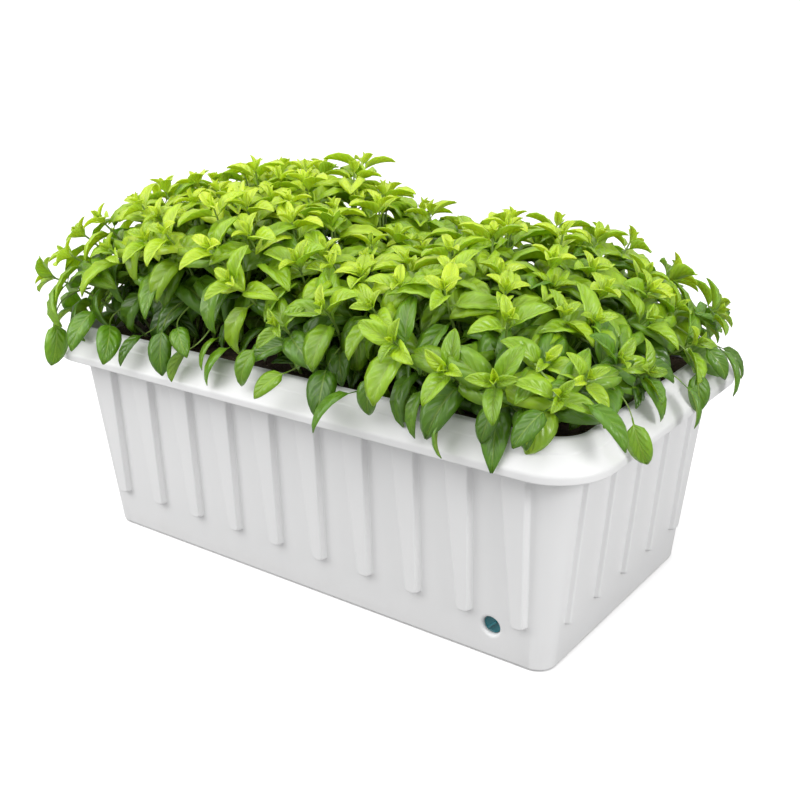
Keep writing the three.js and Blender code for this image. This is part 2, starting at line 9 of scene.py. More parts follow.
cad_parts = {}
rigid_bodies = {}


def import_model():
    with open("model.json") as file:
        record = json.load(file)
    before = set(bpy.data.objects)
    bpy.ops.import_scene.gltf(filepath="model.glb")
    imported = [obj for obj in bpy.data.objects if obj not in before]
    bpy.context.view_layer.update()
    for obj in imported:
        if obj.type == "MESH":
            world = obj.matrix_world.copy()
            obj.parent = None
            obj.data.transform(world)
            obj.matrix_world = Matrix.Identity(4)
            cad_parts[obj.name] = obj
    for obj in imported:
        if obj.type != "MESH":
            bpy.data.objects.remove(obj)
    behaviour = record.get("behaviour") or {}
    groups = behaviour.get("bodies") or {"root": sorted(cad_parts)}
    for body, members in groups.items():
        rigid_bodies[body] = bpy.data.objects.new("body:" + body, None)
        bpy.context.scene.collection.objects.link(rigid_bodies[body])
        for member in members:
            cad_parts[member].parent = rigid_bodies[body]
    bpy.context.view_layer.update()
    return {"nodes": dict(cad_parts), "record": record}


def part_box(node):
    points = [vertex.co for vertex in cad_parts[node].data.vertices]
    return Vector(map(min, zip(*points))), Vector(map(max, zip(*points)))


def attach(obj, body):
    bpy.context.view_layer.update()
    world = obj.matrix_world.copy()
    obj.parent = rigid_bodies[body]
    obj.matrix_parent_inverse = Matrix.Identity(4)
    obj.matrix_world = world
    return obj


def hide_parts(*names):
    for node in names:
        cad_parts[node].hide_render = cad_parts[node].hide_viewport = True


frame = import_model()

MM = 0.001
PLANTER = "planter"

# ---------------------------------------------------------------- camera, light and floor

CAMERA_AZIMUTH = math.radians(37.13)
CAMERA_ELEVATION = math.radians(20.94)
CAMERA_ROLL = math.radians(-1.69)
CAMERA_DISTANCE = 1.1774
CAMERA_TARGET = Vector((0, 0.0319, 0.136))
CAMERA_LENS = 51.58

SKY_LIGHT = 0.86
SKY_EXTRA_IN_VIEW = 0.3


def axes_looking_from(azimuth, elevation, roll=0.0):
    """Right, up and back of a camera or a lamp that looks at its target from that side."""
    back = Vector((
        math.sin(azimuth) * math.cos(elevation),
        -math.cos(azimuth) * math.cos(elevation),
        math.sin(elevation),
    ))
    right = Vector((math.cos(azimuth), math.sin(azimuth), 0))
    up = back.cross(right)
    turned_right = right * math.cos(roll) + up * math.sin(roll)
    turned_up = up * math.cos(roll) - right * math.sin(roll)
    return turned_right, turned_up, back


def aim(thing, target, distance, azimuth, elevation, roll=0.0):
    right, up, back = axes_looking_from(azimuth, elevation, roll)
    place = Matrix((right, up, back)).transposed().to_4x4()
    place.translation = target + back * distance
    thing.matrix_world = place


def set_camera():
    camera = bpy.data.objects.new("camera", bpy.data.cameras.new("camera"))
    bpy.context.scene.collection.objects.link(camera)
    camera.data.sensor_width = 36
    camera.data.lens = CAMERA_LENS
    camera.data.clip_start = 0.05
    camera.data.clip_end = 50
    aim(camera, CAMERA_TARGET, CAMERA_DISTANCE, CAMERA_AZIMUTH, CAMERA_ELEVATION, CAMERA_ROLL)
    bpy.context.scene.camera = camera


def softbox(name, azimuth, elevation, distance, size, power):
    """A round soft lamp, with its angles in degrees."""
    lamp = bpy.data.objects.new(name, bpy.data.lights.new(name, "AREA"))
    bpy.context.scene.collection.objects.link(lamp)
    lamp.data.shape = "DISK"
    lamp.data.size = size
    lamp.data.energy = power
    aim(lamp, CAMERA_TARGET, distance, math.radians(azimuth), math.radians(elevation))


def set_studio():
    scene = bpy.context.scene
    scene.view_settings.view_transform = "Standard"
    world = bpy.data.worlds.new("studio")
    scene.world = world
    world.use_nodes = True
    sky = world.node_tree.nodes["Background"]
    sky.inputs["Color"].default_value = (1, 1, 1, 1)
    seen = world.node_tree.nodes.new("ShaderNodeLightPath").outputs["Is Camera Ray"]
    strength = world.node_tree.nodes.new("ShaderNodeMath")
    strength.operation = "MULTIPLY_ADD"
    world.node_tree.links.new(seen, strength.inputs[0])
    strength.inputs[1].default_value = SKY_EXTRA_IN_VIEW
    strength.inputs[2].default_value = SKY_LIGHT
    world.node_tree.links.new(strength.outputs[0], sky.inputs["Strength"])
    overhead = bpy.data.objects.new("overhead_light", bpy.data.lights.new("overhead_light", "SUN"))
    scene.collection.objects.link(overhead)
    overhead.data.energy = 1.2
    overhead.data.angle = math.radians(55)
    aim(overhead, CAMERA_TARGET, 3, math.radians(-24), math.radians(64))
    softbox("left_softbox", -42, 22, 1.25, 0.6, 3.2)
    softbox("right_softbox", 76, 26, 2.2, 0.7, 16)


set_camera()
set_studio()

# ---------------------------------------------------------------- bench tools


def clear_selection():
    for thing in bpy.context.scene.objects:
        thing.select_set(False)
    bpy.context.view_layer.objects.active = None


def take(piece):
    clear_selection()
    piece.hide_set(False)
    piece.select_set(True)
    bpy.context.view_layer.objects.active = piece
    return piece


def start_piece(name):
    """An empty mesh piece at the origin, open in edit mode."""
    clear_selection()
    bpy.ops.mesh.primitive_plane_add(size=2)
    piece = bpy.context.object
    piece.name = name
    piece.data.name = name
    bpy.context.tool_settings.mesh_select_mode = (True, False, False)
    bpy.ops.object.mode_set(mode="EDIT")
    bpy.ops.mesh.delete(type="VERT")
    return piece


def close_edit():
    bpy.ops.object.mode_set(mode="OBJECT")


def open_edit(piece):
    take(piece)
    bpy.ops.object.mode_set(mode="EDIT")
    bpy.ops.mesh.select_all(action="DESELECT")


def pick(piece, faces=None, edges=None, verts=None):
    """Selects what a test of each face, edge or vertex says, and nothing else."""
    bpy.ops.mesh.select_all(action="DESELECT")
    mode = (verts is not None, edges is not None, faces is not None)
    bpy.context.tool_settings.mesh_select_mode = mode
    mesh = bmesh.from_edit_mesh(piece.data)
    mesh.faces.ensure_lookup_table()
    for parts, test in ((mesh.faces, faces), (mesh.edges, edges), (mesh.verts, verts)):
        if test is not None:
            for part in parts:
                if test(part):
                    part.select_set(True)
    mesh.select_flush_mode()
    bmesh.update_edit_mesh(piece.data)


def finish_with(piece, kind, **settings):
    """Adds a modifier with those settings and applies it."""
    take(piece)
    modifier = piece.modifiers.new(kind.lower(), kind)
    for name, value in settings.items():
        setattr(modifier, name, value)
    bpy.ops.object.modifier_apply(modifier=modifier.name)


def tidy_surface(piece):
    """Merges doubles and turns every face outwards."""
    open_edit(piece)
    bpy.ops.mesh.select_all(action="SELECT")
    bpy.ops.mesh.remove_doubles(threshold=0.01 * MM)
    bpy.ops.mesh.normals_make_consistent(inside=False)
    close_edit()


def smooth(piece, degrees=35):
    take(piece)
    bpy.ops.object.shade_smooth_by_angle(angle=math.radians(degrees))


def join(name, pieces):
    take(pieces[0])
    for piece in pieces[1:]:
        piece.select_set(True)
    bpy.ops.object.join()
    joined = bpy.context.object
    joined.name = name
    joined.data.name = name
    return joined


def fuse(piece, other, operation="UNION"):
    """Joins or cuts a piece with another one, which is used up."""
    finish_with(piece, "BOOLEAN", object=other, operation=operation, solver="EXACT")
    bpy.data.objects.remove(other)


def settle(piece, at=(0, 0, 0), turn=(0, 0, 0)):
    """Puts a piece in its place and leaves the place in its mesh."""
    take(piece)
    piece.location = at
    piece.rotation_euler = turn
    bpy.ops.object.transform_apply(location=True, rotation=True, scale=True)


def round_edges(piece, width, segments=3, angle=40):
    finish_with(
        piece, "BEVEL", width=width, segments=segments, limit_method="ANGLE",
        angle_limit=math.radians(angle), use_clamp_overlap=True, harden_normals=False,
    )


def arc(centre, radius, start, end, steps):
    """Points on an arc, with angles in degrees from the first axis towards the second."""
    points = []
    for step in range(steps + 1):
        angle = math.radians(start + (end - start) * step / steps)
        points.append((centre[0] + radius * math.cos(angle), centre[1] + radius * math.sin(angle)))
    return points


def turned(name, profile, steps=48):
    """A turned piece about Z: one vertex is drawn along the profile and the line is spun."""
    piece = start_piece(name)
    bpy.ops.mesh.primitive_plane_add(size=MM)
    bpy.ops.mesh.merge(type="CENTER")
    radius, height = profile[0]
    bpy.ops.transform.translate(value=(radius, 0, height))
    for (r0, z0), (r1, z1) in zip(profile, profile[1:]):
        bpy.ops.mesh.extrude_region_move(TRANSFORM_OT_translate={"value": (r1 - r0, 0, z1 - z0)})
    bpy.ops.mesh.select_all(action="SELECT")
    bpy.ops.mesh.spin(steps=steps, angle=2 * math.pi, center=(0, 0, 0), axis=(0, 0, 1))
    close_edit()
    tidy_surface(piece)
    return piece


def block(name, low, high):
    """A squared block between two corners."""
    clear_selection()
    low, high = Vector(low), Vector(high)
    bpy.ops.mesh.primitive_cube_add(size=1, location=(low + high) / 2)
    piece = bpy.context.object
    piece.name = name
    piece.scale = high - low
    bpy.ops.object.transform_apply(location=True, rotation=True, scale=True)
    return piece


def peg(name, radius, low, high, steps=32):
    """A plain round bar along Z, used as a cutter or as stock."""
    return turned(name, [(0, low), (radius, low), (radius, high), (0, high)], steps)


CORNER_SEGMENTS = 16
RING_POINTS = 4 * (CORNER_SEGMENTS + 1)


def rounded_tower(name, levels):
    """A closed skin through level rounded rectangles (half length, half width, corner, height)."""
    piece = start_piece(name)
    for half_length, half_width, corner, height in levels:
        bpy.ops.mesh.select_all(action="DESELECT")
        bpy.ops.mesh.primitive_plane_add(size=2, location=(0, 0, height))
        bpy.ops.transform.resize(value=(half_length, half_width, 1), center_override=(0, 0, height))
        bpy.ops.mesh.bevel(
            offset=corner, offset_type="OFFSET", segments=CORNER_SEGMENTS, affect="VERTICES",
        )
        bpy.ops.mesh.delete(type="ONLY_FACE")
    bpy.context.tool_settings.mesh_select_mode = (False, True, False)
    for level in range(len(levels) - 1):
        mesh = bmesh.from_edit_mesh(piece.data)
        mesh.verts.index_update()
        first, last = level * RING_POINTS, (level + 2) * RING_POINTS
        for edge in mesh.edges:
            a, b = (v.index for v in edge.verts)
            edge.select_set(
                first <= a < last and first <= b < last and a // RING_POINTS == b // RING_POINTS
            )
        bmesh.update_edit_mesh(piece.data)
        bpy.ops.mesh.bridge_edge_loops()
    for level in (0, len(levels) - 1):
        mesh = bmesh.from_edit_mesh(piece.data)
        mesh.verts.index_update()
        for edge in mesh.edges:
            edge.select_set(all(v.index // RING_POINTS == level for v in edge.verts))
        bmesh.update_edit_mesh(piece.data)
        bpy.ops.mesh.edge_face_add()
    bpy.ops.mesh.select_all(action="SELECT")
    bpy.ops.mesh.normals_make_consistent(inside=False)
    close_edit()
    return piece


# ---------------------------------------------------------------- finishes


def link(tree, start, end):
    tree.links.new(start, end)


def object_place(tree):
    return tree.nodes.new("ShaderNodeTexCoord").outputs["Object"]


def texture(tree, kind, place, **sockets):
    """A texture node read at a place, with its other inputs set by name."""
    node = tree.nodes.new(kind)
    for name, value in sockets.items():
        node.inputs[name].default_value = value
    link(tree, place, node.inputs["Vector"])
    return node


def noise(tree, place, detail, roughness, **sockets):
    return texture(tree, "ShaderNodeTexNoise", place, Detail=detail, Roughness=roughness, **sockets)


def new_effect(name, inputs, outputs):
    """An empty shader effect with named number inputs and named outputs."""
    group = bpy.data.node_groups.new(name, "ShaderNodeTree")
    for socket, default in inputs:
        made = group.interface.new_socket(socket, in_out="INPUT", socket_type="NodeSocketFloat")
        made.default_value = default
    for socket in outputs:
        group.interface.new_socket(socket, in_out="OUTPUT", socket_type="NodeSocketFloat")
    return group, group.nodes.new("NodeGroupInput"), group.nodes.new("NodeGroupOutput")


def math_node(tree, operation, first, second=None, third=None):
    node = tree.nodes.new("ShaderNodeMath")
    node.operation = operation
    for index, value in enumerate((first, second, third)):
        if value is None:
            continue
        if isinstance(value, (int, float)):
            node.inputs[index].default_value = value
        else:
            link(tree, value, node.inputs[index])
    return node.outputs[0]


def kept_in_unit(tree, value):
    """A value held between 0 and 1."""
    return math_node(tree, "MINIMUM", math_node(tree, "MAXIMUM", value, 0.0), 1.0)


def make_moulded_grain():
    """The faint spark-eroded grain of a mould, its flow clouds and a few fine scuffs."""
    group, source, result = new_effect(
        "moulded_grain", [("Grain Size", 900.0), ("Cloud Size", 9.0)], ["Grain", "Clouds", "Scuffs"],
    )
    place = object_place(group)
    grain = noise(group, place, 2.0, 0.5)
    link(group, source.outputs["Grain Size"], grain.inputs["Scale"])
    clouds = noise(group, place, 3.0, 0.55)
    link(group, source.outputs["Cloud Size"], clouds.inputs["Scale"])
    stretch = texture(
        group, "ShaderNodeMapping", place, Rotation=(0.4, 0.9, 0.3), Scale=(12, 160, 60),
    )
    scuffs = noise(group, stretch.outputs[0], 4.0, 0.6, Scale=3.0)
    thin = math_node(group, "GREATER_THAN", scuffs.outputs["Fac"], 0.66)
    link(group, grain.outputs["Fac"], result.inputs["Grain"])
    link(group, clouds.outputs["Fac"], result.inputs["Clouds"])
    link(group, thin, result.inputs["Scuffs"])
    return group


def make_settled_dust():
    """Dust and splashes that settle near the foot of a piece."""
    group, source, result = new_effect(
        "settled_dust", [("Foot Height", 0.03), ("Amount", 0.3)], ["Dust"],
    )
    place = object_place(group)
    split = group.nodes.new("ShaderNodeSeparateXYZ")
    link(group, place, split.inputs[0])
    speckle = noise(group, place, 5.0, 0.65, Scale=45.0)
    height = math_node(group, "DIVIDE", split.outputs["Z"], source.outputs["Foot Height"])
    near = math_node(group, "SUBTRACT", 1.0, height)
    near = math_node(group, "MAXIMUM", near, 0.0)
    rough = math_node(group, "SUBTRACT", speckle.outputs["Fac"], 0.42)
    rough = kept_in_unit(group, math_node(group, "MULTIPLY", rough, 3.0))
    dust = math_node(group, "MULTIPLY", near, rough)
    dust = math_node(group, "MULTIPLY", dust, source.outputs["Amount"])
    link(group, dust, result.inputs["Dust"])
    return group


def make_leaf_veins():
    """A midrib and curved side veins from a leaf's own map, with the blade puffed between them."""
    group, source, result = new_effect(
        "leaf_veins", [("Pairs", 5.0), ("Sweep", 0.78)], ["Veins", "Puff"],
    )
    place = group.nodes.new("ShaderNodeUVMap")
    place.uv_map = "UVMap"
    split = group.nodes.new("ShaderNodeSeparateXYZ")
    link(group, place.outputs[0], split.inputs[0])
    across = math_node(group, "SUBTRACT", split.outputs["X"], 0.5)
    across = math_node(group, "ABSOLUTE", across)
    bow = math_node(group, "POWER", across, 0.8)
    swept = math_node(group, "MULTIPLY", bow, source.outputs["Sweep"])
    along = math_node(group, "SUBTRACT", split.outputs["Y"], swept)
    phase = math_node(group, "MULTIPLY", along, source.outputs["Pairs"])
    saw = math_node(group, "FRACT", phase)
    ridge = math_node(group, "ABSOLUTE", math_node(group, "SUBTRACT", saw, 0.5))
    side_vein = math_node(group, "MULTIPLY", math_node(group, "SUBTRACT", ridge, 0.42), 7.0)
    fade = math_node(group, "SUBTRACT", 1.0, math_node(group, "MULTIPLY", across, 1.7))
    side_vein = math_node(group, "MULTIPLY", side_vein, fade)
    midrib = math_node(group, "SUBTRACT", 1.0, math_node(group, "MULTIPLY", across, 22.0))
    veins = kept_in_unit(group, math_node(group, "MAXIMUM", side_vein, midrib))
    wave = math_node(group, "COSINE", math_node(group, "MULTIPLY", phase, 2 * math.pi))
    puff = math_node(group, "MULTIPLY_ADD", wave, -0.5, 0.5)
    puff = math_node(group, "SUBTRACT", 1.0, puff)
    edge = math_node(group, "MINIMUM", math_node(group, "MULTIPLY", across, 7.0), 1.0)
    outer = math_node(group, "MULTIPLY_ADD", across, -2.0, 1.0)
    puff = math_node(group, "MULTIPLY", math_node(group, "MULTIPLY", puff, edge), outer)
    link(group, veins, result.inputs["Veins"])
    link(group, puff, result.inputs["Puff"])
    return group


MOULDED_GRAIN = make_moulded_grain()
SETTLED_DUST = make_settled_dust()
LEAF_VEINS = make_leaf_veins()


def new_finish(name):
    material = bpy.data.materials.new(name)
    material.use_nodes = True
    tree = material.node_tree
    return material, tree, tree.nodes["Principled BSDF"]


def use_effect(tree, group, **values):
    node = tree.nodes.new("ShaderNodeGroup")
    node.node_tree = group
    for name, value in values.items():
        node.inputs[name].default_value = value
    return node


def blend_colour(tree, factor, first, second):
    node = tree.nodes.new("ShaderNodeMix")
    node.data_type = "RGBA"
    link(tree, factor, node.inputs["Factor"])
    for socket, value in ((node.inputs[6], first), (node.inputs[7], second)):
        if isinstance(value, tuple):
            socket.default_value = (*value, 1)
        else:
            link(tree, value, socket)
    return node.outputs[2]


def add_bump(tree, shader, height, strength, distance):
    bump = tree.nodes.new("ShaderNodeBump")
    bump.inputs["Strength"].default_value = strength
    bump.inputs["Distance"].default_value = distance
    link(tree, height, bump.inputs["Height"])
    link(tree, bump.outputs[0], shader.inputs["Normal"])


DUST_COLOUR = (0.42, 0.36, 0.29)


def moulded_plastic(name, colour, shade, roughness, dust=0.0, grain=0.12):
    """Moulded plastic: colour with slow flow clouds of a shade, grain bump and dulled scuffs."""
    material, tree, shader = new_finish(name)
    grained = use_effect(tree, MOULDED_GRAIN)
    body = blend_colour(tree, grained.outputs["Clouds"], shade, colour)
    if dust:
        settled = use_effect(tree, SETTLED_DUST, Amount=dust)
        body = blend_colour(tree, settled.outputs["Dust"], body, DUST_COLOUR)
    link(tree, body, shader.inputs["Base Color"])
    dull = math_node(tree, "MULTIPLY_ADD", grained.outputs["Clouds"], 0.12, roughness - 0.06)
    dull = math_node(tree, "MULTIPLY_ADD", grained.outputs["Scuffs"], 0.05, dull)
    link(tree, dull, shader.inputs["Roughness"])
    add_bump(tree, shader, grained.outputs["Grain"], grain, 0.0002)
    return material, tree, shader


def clear_plastic(name):
    material, _, shader = moulded_plastic(
        name, (0.88, 0.93, 0.94), (0.80, 0.88, 0.90), 0.10, grain=0.02,
    )
    shader.inputs["Transmission Weight"].default_value = 0.85
    shader.inputs["IOR"].default_value = 1.49
    return material


def wet_teal(name):
    """Tinted plug plastic: deep teal that turns lighter and greener in its clouds."""
    material, _, shader = moulded_plastic(
        name, (0.018, 0.200, 0.215), (0.012, 0.085, 0.125), 0.16, grain=0.05,
    )
    shader.inputs["Coat Weight"].default_value = 0.6
    shader.inputs["Coat Roughness"].default_value = 0.06
    return material


def closed_foam(name):
    material, tree, shader = new_finish(name)
    cells = texture(tree, "ShaderNodeTexVoronoi", object_place(tree), Scale=900.0)
    link(
        tree,
        blend_colour(tree, cells.outputs["Distance"], (0.86, 0.80, 0.62), (0.72, 0.65, 0.46)),
        shader.inputs["Base Color"],
    )
    shader.inputs["Roughness"].default_value = 0.85
    add_bump(tree, shader, cells.outputs["Distance"], 0.5, 0.0004)
    return material


def crumbly_mix(name):
    """Dark potting mix with paler fibres and a few pale grains."""
    material, tree, shader = new_finish(name)
    place = object_place(tree)
    lumps = noise(tree, place, 8.0, 0.7, Scale=140.0)
    fibres = noise(tree, place, 4.0, 0.6, Scale=420.0)
    grains = texture(tree, "ShaderNodeTexVoronoi", place, Scale=210.0)
    colour = blend_colour(tree, lumps.outputs["Fac"], (0.022, 0.014, 0.009), (0.12, 0.075, 0.045))
    fibre = math_node(tree, "GREATER_THAN", fibres.outputs["Fac"], 0.62)
    colour = blend_colour(tree, fibre, colour, (0.13, 0.075, 0.04))
    near = math_node(tree, "LESS_THAN", grains.outputs["Distance"], 0.16)
    high = math_node(tree, "GREATER_THAN", lumps.outputs["Fac"], 0.56)
    pale = math_node(tree, "MULTIPLY", near, high)
    colour = blend_colour(tree, pale, colour, (0.34, 0.30, 0.24))
    link(tree, colour, shader.inputs["Base Color"])
    shader.inputs["Roughness"].default_value = 0.95
    height = math_node(tree, "MULTIPLY_ADD", fibres.outputs["Fac"], 0.4, lumps.outputs["Fac"])
    add_bump(tree, shader, height, 0.9, 0.003)
    return material


def attribute(tree, name):
    node = tree.nodes.new("ShaderNodeAttribute")
    node.attribute_name = name
    return node.outputs["Fac"]


def basil_leaf(name):
    """A waxy basil leaf: lime when young, deep green when old and darker still low in the canopy,
    where that extra darkening is painted shade; paler veins and underside.
    """
    material, tree, shader = new_finish(name)
    veined = use_effect(tree, LEAF_VEINS)
    ramp = tree.nodes.new("ShaderNodeValToRGB")
    ramp.color_ramp.elements[0].color = (0.028, 0.085, 0.004, 1)
    ramp.color_ramp.elements[1].color = (0.62, 0.86, 0.035, 1)
    for place, colour in ((0.33, (0.10, 0.235, 0.008)), (0.66, (0.33, 0.56, 0.014))):
        ramp.color_ramp.elements.new(place).color = (*colour, 1)
    mottle = noise(tree, object_place(tree), 3.0, 0.6, Scale=60.0)
    mottled = math_node(tree, "MULTIPLY_ADD", mottle.outputs["Fac"], 0.24, -0.12)
    toned = math_node(tree, "ADD", attribute(tree, "tone"), mottled)
    link(tree, toned, ramp.inputs["Fac"])
    vein_share = math_node(tree, "MULTIPLY", veined.outputs["Veins"], 0.26)
    colour = blend_colour(tree, vein_share, ramp.outputs["Color"], (0.60, 0.80, 0.16))
    under = math_node(tree, "MULTIPLY", attribute(tree, "underside"), 0.35)
    colour = blend_colour(tree, under, colour, (0.36, 0.55, 0.10))
    link(tree, colour, shader.inputs["Base Color"])
    dull = math_node(tree, "MULTIPLY_ADD", mottle.outputs["Fac"], 0.2, 0.24)
    link(tree, dull, shader.inputs["Roughness"])
    shader.inputs["Specular IOR Level"].default_value = 0.62
    shader.inputs["Subsurface Weight"].default_value = 0.35
    shader.inputs["Subsurface Radius"].default_value = (0.6, 0.9, 0.05)
    shader.inputs["Subsurface Scale"].default_value = 0.004
    height = math_node(tree, "MULTIPLY_ADD", veined.outputs["Veins"], -0.2, veined.outputs["Puff"])
    add_bump(tree, shader, height, 0.55, 0.0016)
    return material


def green_stem(name):
    material, tree, shader = new_finish(name)
    streaks = noise(tree, object_place(tree), 4.0, 0.6, Scale=90.0)
    link(
        tree,
        blend_colour(tree, streaks.outputs["Fac"], (0.10, 0.20, 0.03), (0.30, 0.42, 0.08)),
        shader.inputs["Base Color"],
    )
    shader.inputs["Roughness"].default_value = 0.5
    add_bump(tree, shader, streaks.outputs["Fac"], 0.4, 0.0005)
    return material


# Colour, the shade of its flow clouds, roughness and dust.
PLASTICS = {
    "white_plastic": ((0.82, 0.82, 0.82), (0.785, 0.785, 0.79), 0.36, 0.08),
    "grey_plastic": ((0.36, 0.38, 0.39), (0.29, 0.31, 0.32), 0.5, 0.0),
    "dark_grey_plastic": ((0.10, 0.11, 0.12), (0.07, 0.08, 0.085), 0.55, 0.0),
    "red_plastic": ((0.62, 0.05, 0.03), (0.48, 0.03, 0.02), 0.3, 0.0),
    "seal_rubber": ((0.022, 0.022, 0.023), (0.012, 0.012, 0.013), 0.72, 0.0),
}
OTHER_FINISHES = {
    "clear_plastic": clear_plastic, "float_foam": closed_foam, "teal_plastic": wet_teal,
    "potting_mix": crumbly_mix, "basil_leaf": basil_leaf, "basil_stem": green_stem,
}
FINISH = {name: moulded_plastic(name, *look)[0] for name, look in PLASTICS.items()}
FINISH.update({name: make(name) for name, make in OTHER_FINISHES.items()})

NODE_SLOTS = {part["node"]: part["material_slot"] for part in frame["record"]["subparts"]}


def dress(piece, finish):
    piece.data.materials.clear()
    piece.data.materials.append(FINISH[finish])


def hand_over(piece, body, slot, *nodes, finish=None):
    """Gives a piece its finish, the body that it rides on and the CAD nodes that it stands for."""
    dress(piece, finish or slot)
    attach(piece, body)
    if nodes:
        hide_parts(*nodes)


# ---------------------------------------------------------------- floor


FLOOR_SIDE = 160
FLOOR_DROP = 0.4 * MM


def lay_floor():
    """A plain floor that the camera sees lighter than the pieces do."""
    clear_selection()
    bpy.ops.mesh.primitive_plane_add(size=FLOOR_SIDE, location=(0, 0, -FLOOR_DROP))
    floor = bpy.context.object
    floor.name = "floor"
    material, tree, shader = new_finish("pale_floor")
    seen = tree.nodes.new("ShaderNodeLightPath").outputs["Is Camera Ray"]
    shade = blend_colour(tree, seen, (0.3, 0.3, 0.3), (0.95, 0.95, 0.95))
    link(tree, shade, shader.inputs["Base Color"])
    shader.inputs["Emission Color"].default_value = (1, 1, 1, 1)
    link(tree, math_node(tree, "MULTIPLY", seen, 0.16), shader.inputs["Emission Strength"])
    shader.inputs["Roughness"].default_value = 0.9
    shader.inputs["Specular IOR Level"].default_value = 0.1
    floor.data.materials.append(material)


lay_floor()

# ---------------------------------------------------------------- the tub

BASE_HALF_LENGTH, BASE_HALF_WIDTH, BASE_CORNER = 265 * MM, 130 * MM, 17 * MM
LIP_HALF_LENGTH, LIP_HALF_WIDTH, LIP_CORNER = 287.5 * MM, 139.5 * MM, 26 * MM
RIM_BOTTOM = 190 * MM
RIM_TOP = 220.3 * MM
WALL = 3 * MM
BASE_FILLET = 3 * MM
WALL_HEAD = 213 * MM
RIB_FOOT, RIB_HEAD = 40 * MM, 212 * MM
RIB_FOOT_WIDTH, RIB_LIP_WIDTH = 14 * MM, 26.5 * MM
RIB_RUN = 1.3 * MM
CHANNEL_HEAD = 205 * MM
FRONT_RIBS = {"count": 10, "pitch": 53.6 * MM, "height": 6.5 * MM}
END_RIBS = {"count": 5, "pitch": 50.8 * MM, "height": 5 * MM}
ON_THE_WALL = 0.05 * MM
PORT_AT = Vector((212.4 * MM, -131.55 * MM, 31 * MM))
WALL_SLOPE = math.atan((LIP_HALF_WIDTH - BASE_HALF_WIDTH) / RIM_BOTTOM)
PORT_TURN = (math.pi / 2 + WALL_SLOPE, 0, 0)


def wall_level(height, offset=0.0):
    """The tub's rounded outline at a height, grown by an offset."""
    t = height / RIM_BOTTOM
    return (
        BASE_HALF_LENGTH + (LIP_HALF_LENGTH - BASE_HALF_LENGTH) * t + offset,
        BASE_HALF_WIDTH + (LIP_HALF_WIDTH - BASE_HALF_WIDTH) * t + offset,
        BASE_CORNER + (LIP_CORNER - BASE_CORNER) * t + offset,
        height,
    )


def rim_level(offset, height):
    return (
        LIP_HALF_LENGTH + offset * MM, LIP_HALF_WIDTH + offset * MM, LIP_CORNER + offset * MM,
        height * MM,
    )


def tub_levels():
    """The tub's section from the underside, up the wall, round the rim and down to the floor."""
    levels = []
    for inset, rise in arc((-BASE_FILLET, BASE_FILLET), BASE_FILLET, -90, 0, 4):
        levels.append(wall_level(rise, inset))
    levels.append(wall_level(WALL_HEAD))
    hollow = [(6, 214.8), (10, 211), (20.4, 198.2), (21.6, 196.3), (22.2, 194.2)]
    lower_roll = arc((23.6, 191.4), 1.4, 180, 360, 6)
    band = arc((19.4, 195.4), 5.6, 0, 38, 4)
    skirt = [(14.9, 209.8), (14.3, 210.3), (13.8, 210.9), (13.5, 211.8), (13.1, 212.7)]
    ledge = [(8.1, 218.2), (7.2, 219.0), (6.0, 219.8), (4.6, 220.3)]
    for offset, height in hollow + lower_roll + band + skirt + ledge:
        levels.append(rim_level(offset, height))
    levels.append(wall_level(RIM_TOP - 0.1 * MM, -WALL + 1.2 * MM))
    levels.append(wall_level(RIM_TOP - 0.35 * MM, -WALL + 0.35 * MM))
    levels.append(wall_level(RIM_TOP - 1.2 * MM, -WALL))
    levels.append(wall_level(5 * MM, -WALL))
    levels.append(wall_level(3.6 * MM, -WALL - 0.6 * MM))
    levels.append(wall_level(3 * MM, -WALL - 2 * MM))
    return levels


def rib_half_width(height):
    t = (height - RIB_FOOT) / (RIM_BOTTOM - RIB_FOOT)
    return (RIB_FOOT_WIDTH + (RIB_LIP_WIDTH - RIB_FOOT_WIDTH) * t) / 2


